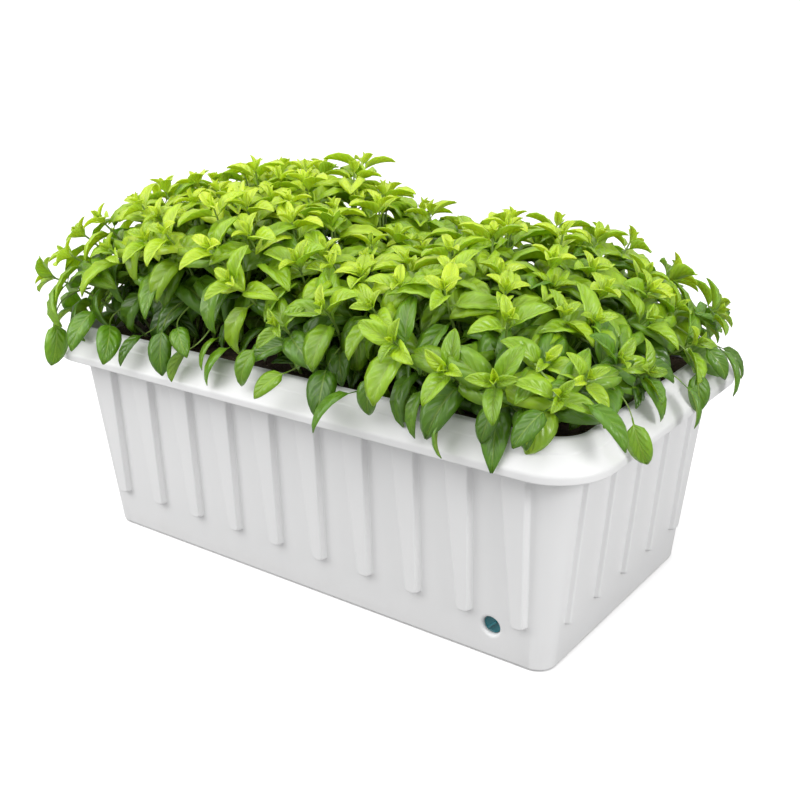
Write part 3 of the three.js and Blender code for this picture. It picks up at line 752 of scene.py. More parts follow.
def cut_rows_of_ribs(tub, side, ribs, inside):
    """Scores one wall with every rib's outline and draws the rib faces out, or the channels in."""
    normal, along = side
    depth = -1 if inside else 1
    shrink = 2.6 * MM if inside else 0.0
    foot, head = (RIB_FOOT + 2.6 * MM, CHANNEL_HEAD) if inside else (RIB_FOOT, RIB_HEAD)
    offset = -WALL if inside else 0.0

    def wall_distance(point):
        level = wall_level(point.z, offset)
        reach = level[0] if abs(normal.x) > 0.5 else level[1]
        return abs(point.dot(normal) - reach)

    def on_wall(face):
        return all(wall_distance(v.co) < ON_THE_WALL for v in face.verts)

    def is_wall(face):
        if abs(face.normal.dot(normal)) < 0.9 or not on_wall(face):
            return False
        heights = [v.co.z for v in face.verts]
        return max(heights) > min(heights) + 0.5 * MM

    def score(point, direction):
        pick(tub, faces=is_wall)
        bpy.ops.mesh.bisect(plane_co=point, plane_no=direction)

    places = [(i - (ribs["count"] - 1) / 2) * ribs["pitch"] for i in range(ribs["count"])]
    slant = (RIB_LIP_WIDTH - RIB_FOOT_WIDTH) / 2 / (RIM_BOTTOM - RIB_FOOT)
    for height in (foot, head):
        score((0, 0, height), (0, 0, 1))
    for place in places:
        for hand in (-1, 1):
            edge = along * (place + hand * (rib_half_width(RIB_FOOT) - shrink))
            score(edge + Vector((0, 0, RIB_FOOT)), along * hand - Vector((0, 0, slant)))

    def is_rib(face):
        if not is_wall(face):
            return False
        middle = face.calc_center_median()
        if not foot < middle.z < head:
            return False
        half = rib_half_width(middle.z) - shrink
        return any(abs(middle.dot(along) - place) < half for place in places)

    pick(tub, faces=is_rib)
    height = ribs["height"] - (0.6 * MM if inside else 0.0)
    bpy.ops.mesh.inset(thickness=RIB_RUN, depth=depth * height, use_boundary=True)
    if inside:
        return

    def is_foot_corner(edge):
        a, b = (v.co for v in edge.verts)
        on_the_wall = (wall_distance(a) < ON_THE_WALL, wall_distance(b) < ON_THE_WALL)
        at_foot = all(abs(z - foot) < 3 * MM for z in (a.z, b.z))
        return at_foot and on_the_wall[0] != on_the_wall[1]

    def is_crest(face):
        return all(abs(wall_distance(v.co) - height) < 0.2 * MM for v in face.verts)

    pick(tub, edges=is_foot_corner)
    bpy.ops.mesh.bevel(offset=3.4 * MM, segments=5, affect="EDGES")
    pick(tub, edges=lambda e: sum(is_crest(f) for f in e.link_faces) == 1)
    bpy.ops.mesh.bevel(offset=1.5 * MM, segments=4, affect="EDGES")

    def is_rising_root(edge):
        a, b = (v.co for v in edge.verts)
        if max(wall_distance(a), wall_distance(b)) > ON_THE_WALL or a.z > head:
            return False
        return abs(a.z - b.z) > 20 * MM and edge.calc_face_angle(0) > math.radians(40)

    pick(tub, edges=is_rising_root)
    bpy.ops.mesh.bevel(offset=1.2 * MM, segments=3, affect="EDGES")


def port_profile(out=1.5 * MM):
    """The drain port's cutter: bore, counterbore and a mouth that flares in a quarter round."""
    mouth = arc((11.4 * MM, -2.9 * MM), 2.9 * MM, 180, 90, 6)
    return [
        (0, -16 * MM), (7 * MM, -16 * MM), (7 * MM, -7.5 * MM), (8.5 * MM, -7.5 * MM),
        *mouth, (11.4 * MM, out), (0, out),
    ]


def make_tub():
    tub = rounded_tower("planter_tub", tub_levels())
    sides = [
        (Vector((0, -1, 0)), Vector((1, 0, 0)), FRONT_RIBS),
        (Vector((0, 1, 0)), Vector((1, 0, 0)), FRONT_RIBS),
        (Vector((1, 0, 0)), Vector((0, 1, 0)), END_RIBS),
        (Vector((-1, 0, 0)), Vector((0, 1, 0)), END_RIBS),
    ]
    open_edit(tub)
    for normal, along, ribs in sides:
        cut_rows_of_ribs(tub, (normal, along), ribs, inside=False)
        cut_rows_of_ribs(tub, (normal, along), ribs, inside=True)
    close_edit()
    boss = peg("port_boss", 11.5 * MM, -14 * MM, -1 * MM, 48)
    settle(boss, PORT_AT, PORT_TURN)
    fuse(tub, boss)
    cutter = turned("port_cutter", port_profile(), 64)
    settle(cutter, PORT_AT, PORT_TURN)
    fuse(tub, cutter, "DIFFERENCE")
    smooth(tub, 30)
    finish_with(tub, "WEIGHTED_NORMAL", keep_sharp=True, weight=60)
    hand_over(tub, PLANTER, "white_plastic", "trough_shell")


make_tub()

# ---------------------------------------------------------------- drain plug and its seal


def make_drain_plug():
    """A turned head with a raised edge and a dished face, a tapered grip bar and a ribbed shank."""
    face = -3.6 * MM
    head = [
        (0, -14 * MM), (5.4 * MM, -14 * MM), (6.4 * MM, -13 * MM), (6.4 * MM, -12 * MM),
    ]
    for turn in range(3):
        low = (-12 + 1.7 * turn) * MM
        head += [(5.6 * MM, low + 0.4 * MM), (5.6 * MM, low + 0.9 * MM), (6.4 * MM, low + 1.3 * MM)]
    head += [(6.4 * MM, -5.6 * MM), (7.8 * MM, -5.6 * MM), (8.1 * MM, -5.3 * MM)]
    head += [(8.1 * MM, face - 0.4 * MM), (7.8 * MM, face), (7.1 * MM, face)]
    head += [(6.7 * MM, face - 0.5 * MM), (3.5 * MM, face - 0.8 * MM), (0, face - 0.9 * MM)]
    plug = turned("drain_plug_body", head, 56)
    bar = block(
        "grip_bar", (-6.4 * MM, -1.2 * MM, face - 1 * MM), (6.4 * MM, 1.2 * MM, face + 1.7 * MM),
    )
    open_edit(bar)
    pick(bar, faces=lambda f: f.normal.z > 0.9)
    bpy.ops.transform.resize(value=(0.86, 0.62, 1), center_override=(0, 0, face))
    bpy.ops.mesh.select_all(action="SELECT")
    bpy.ops.mesh.bevel(offset=0.35 * MM, segments=3, affect="EDGES")
    close_edit()
    settle(bar, turn=(0, 0, math.radians(45)))
    fuse(plug, bar)
    smooth(plug, 32)
    settle(plug, PORT_AT, PORT_TURN)
    hand_over(plug, "plug", "teal_plastic", "drain_plug")


def make_o_ring():
    ring = turned("plug_seal_ring", arc((7.3 * MM, -6.5 * MM), 0.75 * MM, 0, 360, 14))
    smooth(ring, 60)
    settle(ring, PORT_AT, PORT_TURN)
    hand_over(ring, "plug_seal", "seal_rubber", "plug_o_ring")


make_drain_plug()
make_o_ring()

# ---------------------------------------------------------------- filling tube and its cap

FILL_AT = Vector((-232 * MM, 98 * MM, 0))
GAUGE_AT = Vector((236 * MM, 100 * MM, 0))
HINGE_Y, HINGE_Z = 21.5 * MM, 234 * MM
PIN_RADIUS, KNUCKLE_RADIUS, KNUCKLE_HALF = 1.2 * MM, 3.1 * MM, 6 * MM


def make_standpipe(name, at, inner, outer, bottom, top, slot, node):
    """A tube with a notch at its foot that lets the water through."""
    ease = 0.4 * MM
    pipe = turned(name, [
        (inner, bottom), (outer, bottom), (outer, top - ease), (outer - ease, top),
        (inner + ease, top), (inner, top - ease), (inner, bottom),
    ], 64)
    notch = block(
        "notch", (-inner / 2, -2 * outer, bottom - 8 * MM), (inner / 2, 2 * outer, bottom + 8 * MM),
    )
    fuse(pipe, notch, "DIFFERENCE")
    smooth(pipe)
    settle(pipe, at)
    hand_over(pipe, PLANTER, slot, node)


def cross_bar(name, radius, half_length, ease=0.0, steps=28):
    """A round bar along X on the cap's hinge line."""
    profile = [
        (0, -half_length), (radius - ease, -half_length), (radius, -half_length + ease),
        (radius, half_length - ease), (radius - ease, half_length), (0, half_length),
    ]
    bar = turned(name, profile, steps)
    settle(bar, (0, HINGE_Y, HINGE_Z), (0, math.pi / 2, 0))
    return bar


def make_fill_collar():
    bore, outer, lip = 15.3 * MM, 17.5 * MM, 13 * MM
    collar = turned("filling_collar", [
        (bore, 209 * MM), (outer - 0.5 * MM, 209 * MM), (outer, 209.5 * MM), (outer, 212 * MM),
        (outer - 0.5 * MM, 212.5 * MM), (outer - 0.5 * MM, 229 * MM), (outer, 229.5 * MM),
        (outer, 231.4 * MM), (outer - 0.6 * MM, 232 * MM), (lip + 0.5 * MM, 232 * MM),
        (lip, 231.5 * MM), (lip, 226.3 * MM), (bore, 226.3 * MM), (bore, 209 * MM),
    ], 64)
    for hand in (-1, 1):
        low, high = sorted((hand * 6.3 * MM, hand * 9.3 * MM))
        ear = block("ear", (low, 15.6 * MM, 222 * MM), (high, 24.4 * MM, HINGE_Z))
        open_edit(ear)
        pick(ear, faces=lambda f: f.normal.z < -0.9)
        bpy.ops.transform.resize(value=(1, 0.45, 1), center_override=(0, 15.6 * MM, 222 * MM))
        close_edit()
        top = peg("ear_top", KNUCKLE_RADIUS, low, high, 28)
        settle(top, (0, HINGE_Y, HINGE_Z), (0, math.pi / 2, 0))
        fuse(ear, top)
        fuse(collar, ear)
    fuse(collar, cross_bar("pin_bore", PIN_RADIUS + 0.1 * MM, 15 * MM), "DIFFERENCE")
    round_edges(collar, 0.25 * MM, 2)
    smooth(collar)
    settle(collar, FILL_AT)
    hand_over(collar, PLANTER, "grey_plastic", "fill_collar")


def make_fill_cap():
    """A lid with a plug that enters the tube, a raised ring on top, a finger tab and a knuckle."""
    seat = 232.3 * MM
    lid = turned("filling_cap", [
        (0, seat - 2.4 * MM), (9.5 * MM, seat - 2.4 * MM), (10.2 * MM, seat - 3 * MM),
        (11.8 * MM, seat - 3 * MM), (12.2 * MM, seat - 2.5 * MM), (12.2 * MM, seat),
        (17.8 * MM, seat), (18.3 * MM, seat + 0.5 * MM), (18.3 * MM, seat + 2 * MM),
        (17.3 * MM, seat + 3 * MM), (14.5 * MM, seat + 3 * MM), (13.9 * MM, seat + 2.4 * MM),
        (12.6 * MM, seat + 2.4 * MM), (12 * MM, seat + 3 * MM), (0, seat + 3 * MM),
    ], 72)
    web = block(
        "web", (-5.5 * MM, HINGE_Y - 8 * MM, seat + 0.3 * MM), (5.5 * MM, HINGE_Y, seat + 2.7 * MM),
    )
    tab = block(
        "tab", (-6 * MM, -23.3 * MM, seat + 0.4 * MM), (6 * MM, -15.3 * MM, seat + 2.6 * MM),
    )
    open_edit(tab)
    pick(tab, edges=lambda e: all(v.co.y < -20 * MM for v in e.verts)
         and abs(e.verts[0].co.z - e.verts[1].co.z) > MM)
    bpy.ops.mesh.bevel(offset=3 * MM, segments=6, affect="EDGES")
    close_edit()
    fuse(lid, web)
    fuse(lid, tab)
    fuse(lid, cross_bar("knuckle", KNUCKLE_RADIUS, KNUCKLE_HALF, 0.3 * MM))
    fuse(lid, cross_bar("pin_bore", PIN_RADIUS + 0.1 * MM, 15 * MM), "DIFFERENCE")
    round_edges(lid, 0.25 * MM, 2)
    smooth(lid)
    settle(lid, FILL_AT)
    hand_over(lid, "fill_cap", "grey_plastic", "fill_cap")


def make_cap_pin():
    pin = cross_bar("filling_cap_pin", PIN_RADIUS, 9.8 * MM, 0.3 * MM)
    smooth(pin)
    settle(pin, FILL_AT)
    hand_over(pin, PLANTER, "dark_grey_plastic", "fill_cap_pin")


make_standpipe(
    "filling_tube", FILL_AT, 13 * MM, 15 * MM, 8 * MM, 226 * MM, "white_plastic", "fill_tube",
)
make_fill_collar()
make_fill_cap()
make_cap_pin()

# ---------------------------------------------------------------- float gauge


def make_float_gauge():
    make_standpipe(
        "gauge_sight_tube", GAUGE_AT, 8 * MM, 10 * MM, 6 * MM, 226 * MM, "clear_plastic", "gauge_tube",
    )
    cap = turned("gauge_tube_cap", [
        (10.3 * MM, 212 * MM), (11.8 * MM, 212 * MM), (12.1 * MM, 212.3 * MM),
        (12.1 * MM, 227.6 * MM), (11.2 * MM, 228.8 * MM), (4.2 * MM, 228.8 * MM),
        (3.6 * MM, 229.4 * MM), (2.3 * MM, 229.4 * MM), (2 * MM, 229.1 * MM),
        (2 * MM, 226.3 * MM), (10.3 * MM, 226.3 * MM), (10.3 * MM, 212 * MM),
    ], 56)
    smooth(cap)
    settle(cap, GAUGE_AT)
    hand_over(cap, PLANTER, "grey_plastic", "gauge_cap")
    body = turned("gauge_float", [
        (0, 8 * MM), *arc((5.3 * MM, 9.5 * MM), 1.5 * MM, -90, 0, 4),
        *arc((5.3 * MM, 22.5 * MM), 1.5 * MM, 0, 90, 4), (0, 24 * MM),
    ], 40)
    rod = turned("gauge_rod", [
        (0, 24.3 * MM), (1.5 * MM, 24.3 * MM), (1.5 * MM, 232.6 * MM), (1.1 * MM, 233 * MM),
        (0, 233 * MM),
    ], 20)
    tip = turned("gauge_tip_bead", [
        (0, 233.3 * MM), (2.2 * MM, 233.3 * MM),
        *arc((0, 238.3 * MM), 4 * MM, -52, 52, 8), (2.2 * MM, 243 * MM),
        (1.6 * MM, 243.3 * MM), (0, 243.3 * MM),
    ], 40)
    for piece, slot, node in (
        (body, "float_foam", "float_body"),
        (rod, "dark_grey_plastic", "float_rod"),
        (tip, "red_plastic", "gauge_tip"),
    ):
        smooth(piece)
        settle(piece, GAUGE_AT)
        hand_over(piece, "float", slot, node)


make_float_gauge()

# ---------------------------------------------------------------- platform and baskets

for name, node in frame["nodes"].items():
    if not node.hide_render and NODE_SLOTS[name] in FINISH:
        dress(node, NODE_SLOTS[name])


def make_platform_legs():
    low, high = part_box("platform_leg_1")
    bottom, top = low.z, high.z
    pattern = turned("leg_pattern", [
        (0, top - 4 * MM), (7.5 * MM, top - 4 * MM), (5.5 * MM, bottom), (7.2 * MM, bottom),
        (7.5 * MM, bottom + 0.4 * MM), (9.5 * MM, top - 2.6 * MM), (10.2 * MM, top - 2 * MM),
        (11.7 * MM, top - 2 * MM), (12 * MM, top - 1.7 * MM), (12 * MM, top), (0, top),
    ], 32)
    smooth(pattern)
    for number in range(1, 7):
        low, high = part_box(f"platform_leg_{number}")
        leg = pattern.copy()
        leg.data = pattern.data.copy()
        leg.name = f"support_leg_{number}"
        bpy.context.scene.collection.objects.link(leg)
        settle(leg, ((low.x + high.x) / 2, (low.y + high.y) / 2, 0))
        hand_over(leg, PLANTER, "dark_grey_plastic", f"platform_leg_{number}")
    bpy.data.objects.remove(pattern)


make_platform_legs()

# ---------------------------------------------------------------- potting mix

SOIL_TOP = 205 * MM


def make_soil_bed():
    """The mix: a rounded bed with holes for the two tubes, remeshed and roughened on top."""
    side = -WALL - 0.5 * MM
    bed = rounded_tower("soil_bed", [
        wall_level(66 * MM, side), wall_level(SOIL_TOP - 5 * MM, side),
        wall_level(SOIL_TOP - 1 * MM, side - 5 * MM), wall_level(SOIL_TOP, side - 14 * MM),
    ])
    for at, radius in ((FILL_AT, 15.5 * MM), (GAUGE_AT, 10.5 * MM)):
        hole = peg("tube_hole", radius, 50 * MM, 230 * MM, 40)
        settle(hole, at)
        fuse(bed, hole, "DIFFERENCE")
    finish_with(bed, "REMESH", mode="VOXEL", voxel_size=4 * MM)
    top = bed.vertex_groups.new(name="top")
    top.add([v.index for v in bed.data.vertices if v.co.z > SOIL_TOP - 3 * MM], 1.0, "REPLACE")
    for name, size, strength in (("lumps", 0.045, 9 * MM), ("crumbs", 0.012, 5 * MM)):
        clouds = bpy.data.textures.new(name, "CLOUDS")
        clouds.noise_scale = size
        finish_with(
            bed, "DISPLACE", texture=clouds, strength=strength, mid_level=0.62, direction="Z",
            texture_coords="LOCAL", vertex_group="top",
        )
    smooth(bed, 180)
    hand_over(bed, PLANTER, "potting_mix", "potting_mix")


CRUMB_COUNT = 420
CLEAR_OF_TUBES = 22 * MM


def scatter_crumbs():
    """Loose crumbs and bark on the mix."""
    rng = random.Random(5)
    clear_selection()
    bpy.ops.mesh.primitive_ico_sphere_add(subdivisions=1, radius=1)
    pattern = bpy.context.object
    open_edit(pattern)
    pick(pattern, verts=lambda v: v.co.x > 0.3)
    bpy.ops.transform.resize(value=(1.4, 0.7, 0.8), center_override=(0, 0, 0))
    close_edit()
    crumbs = []
    half_length, half_width = wall_level(SOIL_TOP, -WALL)[:2]
    for _ in range(CRUMB_COUNT):
        size = rng.uniform(1.2, 3.4) * MM
        at = Vector((
            rng.uniform(-1, 1) * (half_length - 9 * MM), rng.uniform(-1, 1) * (half_width - 9 * MM),
            SOIL_TOP - rng.uniform(0.5, 2) * MM,
        ))
        if min((at.xy - tube.xy).length for tube in (FILL_AT, GAUGE_AT)) < CLEAR_OF_TUBES:
            continue
        crumb = pattern.copy()
        crumb.data = pattern.data.copy()
        bpy.context.scene.collection.objects.link(crumb)
        turn = Matrix.Rotation(rng.uniform(0, 6.28), 4, Vector((rng.random(), rng.random(), 1)))
        stretch = Matrix.Diagonal((size, size * rng.uniform(0.5, 1), size * rng.uniform(0.5, 0.9), 1))
        crumb.data.transform(Matrix.Translation(at) @ turn @ stretch)
        crumbs.append(crumb)
    bpy.data.objects.remove(pattern)
    loose = join("soil_crumbs", crumbs)
    smooth(loose, 50)
    hand_over(loose, PLANTER, "potting_mix")


make_soil_bed()
scatter_crumbs()

# ---------------------------------------------------------------- basil

LEAF_ROWS = 8
LEAF_COLUMNS = 4
LEAF_THICKNESS = 0.011
STALK = 0.15
WIDEST = 0.443


def leaf_half_width(t, width, point):
    """Half width of an ovate leaf at a share t of its length, as a share of the length."""
    round_base = max(t, 0.0) ** 0.5
    long_tip = max(1 - t, 0.0) ** (0.72 * point)
    return max(width * round_base * long_tip / WIDEST, 0.02)


def make_leaf_pattern(name, width, point, puff, droop, bend, ripple):
    """One leaf of unit length along Y with its stalk at the origin.

    puff is how far each half bulges, droop how far the outer edges sit below that bulge, bend the turn
    in degrees over the whole length, and ripple the waviness of the edge."""
    clear_selection()
    bpy.ops.mesh.primitive_grid_add(
        x_subdivisions=LEAF_COLUMNS, y_subdivisions=LEAF_ROWS, size=1, location=(0, 0, 0),
    )
    leaf = bpy.context.object
    leaf.name = name
    open_edit(leaf)
    for column, lift in ((0.25, puff), (0.5, puff - droop)):
        pick(leaf, verts=lambda v, at=column: abs(abs(v.co.x) - at) < 0.01)
        bpy.ops.transform.translate(value=(0, 0, lift))
    for row in range(LEAF_ROWS + 1):
        t = row / LEAF_ROWS
        y = t - 0.5
        pick(leaf, verts=lambda v, at=y: abs(v.co.y - at) < 0.01)
        share = 2 * leaf_half_width(t, width, point)
        wave = 1 + ripple * (1 if row % 2 else -1)
        bpy.ops.transform.resize(value=(share, 1, share * wave), center_override=(0, y, 0))
    pick(leaf, edges=lambda e: all(v.co.y < -0.49 for v in e.verts))
    bpy.ops.mesh.extrude_edges_move(TRANSFORM_OT_translate={"value": (0, -STALK, 0)})
    start = -0.5 - STALK
    bpy.ops.mesh.select_all(action="SELECT")
    bpy.ops.transform.translate(value=(0, -start, 0))
    turn = math.radians(bend) / LEAF_ROWS
    centre = Vector((0, STALK, 0))
    direction = 0.0
    for row in range(LEAF_ROWS):
        def beyond(vertex, row=row):
            return row_of[vertex.index] > row

        mesh = bmesh.from_edit_mesh(leaf.data)
        mesh.verts.ensure_lookup_table()
        if row == 0:
            row_of = {v.index: round((v.co.y - STALK) * LEAF_ROWS) for v in mesh.verts}
        pick(leaf, verts=beyond)
        bpy.ops.transform.rotate(value=turn, orient_axis="X", center_override=centre)
        direction += turn
        centre = centre + Vector((0, math.cos(direction), -math.sin(direction))) / LEAF_ROWS
    close_edit()
    count = len(leaf.data.vertices)
    finish_with(leaf, "SOLIDIFY", thickness=LEAF_THICKNESS, offset=-1)
    under = leaf.data.attributes.new("underside", "FLOAT", "POINT")
    under.data.foreach_set("value", [float(i >= count) for i in range(len(leaf.data.vertices))])
    leaf.data.attributes.new("tone", "FLOAT", "POINT")
    take(leaf)
    bpy.ops.object.shade_smooth()
    return leaf


LEAF_PATTERNS = {
    "bud": make_leaf_pattern("leaf_bud", 0.22, 1.0, 0.34, -0.16, 10, 0.0),
    "young": make_leaf_pattern("leaf_young", 0.25, 1.05, 0.30, -0.10, 40, 0.05),
    "broad": make_leaf_pattern("leaf_broad", 0.29, 1.0, 0.30, 0.12, 60, 0.08),
    "arched": make_leaf_pattern("leaf_arched", 0.27, 1.1, 0.34, 0.16, 95, 0.06),
    "pointed": make_leaf_pattern("leaf_pointed", 0.24, 1.25, 0.28, 0.02, 50, 0.10),
    "hanging": make_leaf_pattern("leaf_hanging", 0.28, 1.05, 0.22, 0.14, 60, 0.05),
}

CANOPY_HALF_LENGTH = 0.312
CANOPY_HALF_WIDTH = 0.170
SHOOT_PITCH = 0.043
SKIRT_HEIGHT = 0.236
LOWEST_LEAF = 0.160
LOWEST_PAIR = 0.215
HANGING_TRIES = 14

# Boxes that the cap's swing and the gauge's travel need, each a lowest and a highest corner.
KEEP_CLEAR = [
    (Vector((-0.256, 0.068, 0.200)), Vector((-0.208, 0.142, 0.288))),
    (Vector((0.220, 0.084, 0.200)), Vector((0.252, 0.116, 0.280))),
]

PLANT_CENTRES = {}
for number in range(1, 7):
    low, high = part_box(f"basil_plant_{number}")
    column, row = (number - 1) % 3 - 1, (number - 1) // 3
    PLANT_CENTRES[number] = Vector((0.18 * column, 0.066 if row == 0 else -0.066, SOIL_TOP))


# How high the shoots stand at places along the trough: two domes, the left one the taller.
CROWN = [
    (-0.34, 0.325), (-0.27, 0.348), (-0.18, 0.357), (-0.07, 0.350), (0.01, 0.318),
    (0.06, 0.304), (0.12, 0.324), (0.19, 0.316), (0.26, 0.290), (0.34, 0.268),
]


def crown_height(x):
    for (x0, z0), (x1, z1) in zip(CROWN, CROWN[1:]):
        if x <= x1:
            return z0 + (z1 - z0) * min(max((x - x0) / (x1 - x0), 0.0), 1.0)
    return CROWN[-1][1]


def shoot_tip(x, y):
    """Tip point and direction of a shoot that ends over a place in the plan."""
    u = abs(x) / CANOPY_HALF_LENGTH
    v = abs(y) / CANOPY_HALF_WIDTH
    rise = max(1 - u ** 6, 0.0) ** 0.5 * max(1 - v ** 4.5, 0.0) ** 0.5
    height = SKIRT_HEIGHT + (crown_height(x) - SKIRT_HEIGHT) * rise
    lean = Vector((math.copysign(u ** 3, x), math.copysign(v ** 2.2, y), 0)) * 1.1
    direction = (lean + Vector((0, 0, 0.35 + 0.65 * rise))).normalized()
    return Vector((x, y, height)), direction


class Shoot:
    """A bent stem from a plant's foot to its tip."""

    def __init__(self, foot, tip, direction):
        self.foot = foot
        self.tip = tip
        reach = (tip - foot).length
        self.knee = tip - direction * 0.5 * reach
        self.length = reach

    def point(self, back):
        """The place and direction of the stem at a distance back from its tip."""
        t = 1 - min(back / self.length, 1.0)
        at = (1 - t) ** 2 * self.foot + 2 * t * (1 - t) * self.knee + t * t * self.tip
        way = 2 * (1 - t) * (self.knee - self.foot) + 2 * t * (self.tip - self.knee)
        return at, way.normalized()


def leaf_place(at, stem_way, around, lift, length, rng):
    """Where a leaf goes: it leaves the stem at an angle round it and lifted from it."""
    side = stem_way.orthogonal().normalized()
    out = Matrix.Rotation(around, 3, stem_way) @ side
    along = stem_way * math.cos(lift) + out * math.sin(lift)
    face = stem_way * math.sin(lift) - out * math.cos(lift)
    across = along.cross(face)
    place = Matrix((across, along, face)).transposed().to_4x4()
    place = place @ Matrix.Rotation(rng.gauss(0, 0.16), 4, "Y")
    place = place @ Matrix.Scale(length, 4)
    place.translation = at
    return place


# The rim's outside, as heights and offsets from the lip.
RIM_OUTSIDE = [(190 * MM, 25 * MM), (196 * MM, 25 * MM), (211 * MM, 14.5 * MM), (220.3 * MM, 5.5 * MM)]


def lip_offset(point):
    """How far a point is outside the lip's rounded outline, in the plan."""
    dx = abs(point.x) - (LIP_HALF_LENGTH - LIP_CORNER)
    dy = abs(point.y) - (LIP_HALF_WIDTH - LIP_CORNER)
    if dx > 0 and dy > 0:
        return math.hypot(dx, dy) - LIP_CORNER
    return max(dx, dy) - LIP_CORNER


def is_in_trough(point):
    """Whether a point is in the rim or the walls, or hidden behind them."""
    if point.z > RIM_TOP + 0.5 * MM:
        return False
    offset = lip_offset(point)
    reach = RIM_OUTSIDE[0][1]
    for (z0, out0), (z1, out1) in zip(RIM_OUTSIDE, RIM_OUTSIDE[1:]):
        if z0 <= point.z <= z1:
            reach = out0 + (out1 - out0) * (point.z - z0) / (z1 - z0)
    if point.z > RIM_OUTSIDE[-1][0]:
        reach = RIM_OUTSIDE[-1][1]
    if offset > reach + 0.4 * MM:
        return False
    return offset > -4 * MM or point.z < SOIL_TOP - 2 * MM


def is_clear(points):
    for point in points:
        if is_in_trough(point):
            return False
        for low, high in KEEP_CLEAR:
            if all(low[i] < point[i] < high[i] for i in range(3)):
                return False
    return True


def add_leaf(leaves, kind, place, tone):
    """Adds a leaf if it clears the trough and the moving pieces, and says whether it did."""
    pattern = LEAF_PATTERNS[kind]
    points = [place @ v.co for v in pattern.data.vertices]
    if not is_clear(points) or min(p.z for p in points) < LOWEST_LEAF:
        return False
    leaf = pattern.copy()
    leaf.data = pattern.data.copy()
    leaf.data.transform(place)
    tone = min(max(tone, 0.0), 1.0)
    leaf.data.attributes["tone"].data.foreach_set("value", [tone] * len(points))
    bpy.context.scene.collection.objects.link(leaf)
    leaves.append(leaf)
    return True


# Leaf pairs down a shoot: distance from the tip, leaf length, angle from the stem, kind and tone.
PAIRS = [
    (0.000, 0.012, 18, "bud", 1.00),
    (0.002, 0.019, 38, "young", 1.00),
    (0.008, 0.031, 52, "young", 0.92),
    (0.020, 0.044, 62, "broad", 0.80),
    (0.037, 0.053, 72, "arched", 0.62),
    (0.057, 0.056, 84, "arched", 0.42),
    (0.080, 0.053, 96, "arched", 0.24),
]


def clothe_shoot(shoot, leaves, rng, vigour):
    turn = rng.uniform(0, math.pi)
    for pair, (back, length, lift, kind, tone) in enumerate(PAIRS):
        at, way = shoot.point(back * vigour)
        if at.z < LOWEST_PAIR:
            break
        # Painted shade: on top of the age in the table, leaves lower in the canopy get a darker tone,
        # as if shaded by the growth above them.
        shade = 0.55 * (at.z - 0.235) / 0.11 + 0.45
        for hand in (0, math.pi):
            size = length * vigour * rng.uniform(0.86, 1.14)
            around = turn + pair * math.pi / 2 + hand + rng.gauss(0, 0.16)
            angle = math.radians(lift + rng.gauss(0, 8))
            chosen = kind
            if kind in ("broad", "arched") and rng.random() < 0.3:
                chosen = "pointed"
            for lifted in range(5):
                raised = angle - math.radians(16 * lifted)
                place = leaf_place(at, way, around, raised, size * (1 - 0.06 * lifted), rng)
                if add_leaf(leaves, chosen, place, tone * shade + rng.gauss(0, 0.09)):
                    break


STEM_STEPS = 8


def draw_stem(name, shoot, radius):
    """A tapered stem swept along the shoot."""
    curve = bpy.data.curves.new(name, "CURVE")
    curve.dimensions = "3D"
    curve.bevel_depth = radius
    curve.bevel_resolution = 1
    curve.use_fill_caps = True
    spline = curve.splines.new("POLY")
    spline.points.add(STEM_STEPS)
    for step in range(STEM_STEPS + 1):
        at = shoot.point(shoot.length * (1 - step / STEM_STEPS))[0]
        spline.points[step].co = (*at, 1)
        spline.points[step].radius = 1 - 0.55 * step / STEM_STEPS
    stem = bpy.data.objects.new(name, curve)
    bpy.context.scene.collection.objects.link(stem)
    return stem


def hang_rim_leaves(leaves_of, stems_of, rng):
    """Leaves on stalks that reach over the rim from the growth behind and hang in front of it."""
    half_length = LIP_HALF_LENGTH + 14 * MM
    half_width = LIP_HALF_WIDTH + 14 * MM
    for side in range(4):
        normal = (Vector((0, -1, 0)), Vector((1, 0, 0)), Vector((0, 1, 0)), Vector((-1, 0, 0)))[side]
        along = Vector((-normal.y, normal.x, 0))
        span = half_length if side % 2 == 0 else half_width
        reach = half_width if side % 2 == 0 else half_length
        place = -span + 0.02
        while place < span - 0.01:
            for _ in range(HANGING_TRIES):
                at = along * place + normal * (reach + rng.uniform(-22, 12) * MM)
                at.z = RIM_TOP + rng.uniform(6, 30) * MM
                outward = Matrix.Rotation(rng.gauss(0, 0.55), 3, "Z") @ normal
                pitch = rng.uniform(0.1, 1.15)
                way = (outward * math.cos(pitch) - Vector((0, 0, 1)) * math.sin(pitch)).normalized()
                face = (Vector((0, 0, 1)) - way * way.z).normalized()
                across = way.cross(face)
                lie = Matrix((across, way, face)).transposed().to_4x4()
                lie = lie @ Matrix.Rotation(rng.gauss(0, 0.35), 4, "Y")
                lie = lie @ Matrix.Scale(rng.uniform(0.032, 0.048), 4)
                lie.translation = at
                tone = rng.uniform(0.1, 0.46)
                back = rng.uniform(34, 50) * MM
                inner = at - normal * back + Vector((0, 0, rng.uniform(0.3, 0.6) * back))
                stalk = Shoot(inner, at, way)
                number = nearest_plant(at)
                if not is_clear([stalk.point(stalk.length * i / 6)[0] for i in range(7)]):
                    continue
                if add_leaf(leaves_of[number], "hanging", lie, tone):
                    stems_of[number].append(draw_stem("stalk", stalk, 1.0 * MM))
                    break
            place += rng.uniform(0.012, 0.046)


def nearest_plant(at):
    return min(PLANT_CENTRES, key=lambda n: (PLANT_CENTRES[n].xy - at.xy).length)


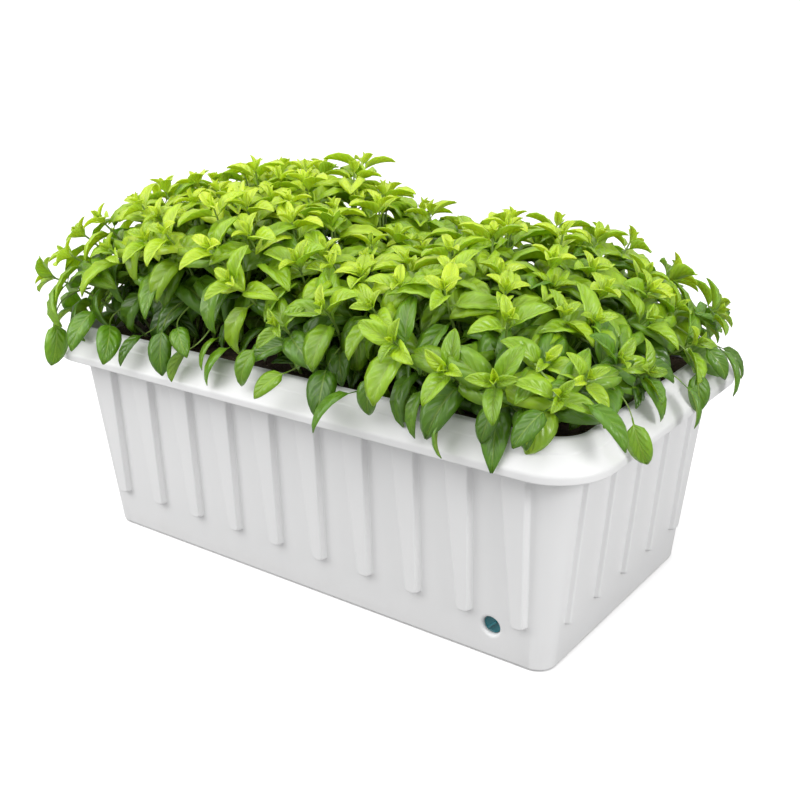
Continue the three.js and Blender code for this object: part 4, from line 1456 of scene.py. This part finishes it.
def grow_basil():
    rng = random.Random(11)
    leaves_of = {number: [] for number in PLANT_CENTRES}
    stems_of = {number: [] for number in PLANT_CENTRES}
    rows = int(2 * CANOPY_HALF_WIDTH / (SHOOT_PITCH * 0.88)) + 1
    for row in range(rows):
        y0 = -CANOPY_HALF_WIDTH + (row + 0.5) * 2 * CANOPY_HALF_WIDTH / rows
        columns = int(2 * CANOPY_HALF_LENGTH / SHOOT_PITCH)
        for column in range(columns):
            shift = 0.25 if row % 2 else -0.25
            x0 = -CANOPY_HALF_LENGTH + (column + 0.5 + shift) * 2 * CANOPY_HALF_LENGTH / columns
            x = x0 + rng.uniform(-0.3, 0.3) * SHOOT_PITCH
            y = y0 + rng.uniform(-0.3, 0.3) * SHOOT_PITCH
            x = min(max(x, -CANOPY_HALF_LENGTH), CANOPY_HALF_LENGTH)
            y = min(max(y, -CANOPY_HALF_WIDTH), CANOPY_HALF_WIDTH)
            tip, direction = shoot_tip(x, y)
            tip.z += rng.gauss(0, 0.006)
            if not is_clear([tip, tip - Vector((0, 0, 0.03))]):
                continue
            number = nearest_plant(tip)
            centre = PLANT_CENTRES[number]
            foot = centre.lerp(Vector((x, y, centre.z)), 0.35)
            foot.z = SOIL_TOP - 4 * MM
            shoot = Shoot(foot, tip, direction)
            clothe_shoot(shoot, leaves_of[number], rng, rng.uniform(0.86, 1.12))
            if is_clear([shoot.point(shoot.length * i / 8)[0] for i in range(8)]):
                stems_of[number].append(draw_stem("stem", shoot, 1.9 * MM))
    hang_rim_leaves(leaves_of, stems_of, rng)
    for number in PLANT_CENTRES:
        leaves = join(f"basil_leaves_{number}", leaves_of[number])
        hand_over(leaves, PLANTER, "basil_leaf", f"basil_plant_{number}")
        take(stems_of[number][0])
        for stem in stems_of[number]:
            stem.select_set(True)
        bpy.ops.object.convert(target="MESH")
        stems = join(f"basil_stems_{number}", [bpy.context.object] + [
            o for o in bpy.context.selected_objects if o != bpy.context.object
        ])
        smooth(stems, 60)
        hand_over(stems, PLANTER, "basil_leaf", finish="basil_stem")
    for pattern in LEAF_PATTERNS.values():
        bpy.data.objects.remove(pattern)


grow_basil()
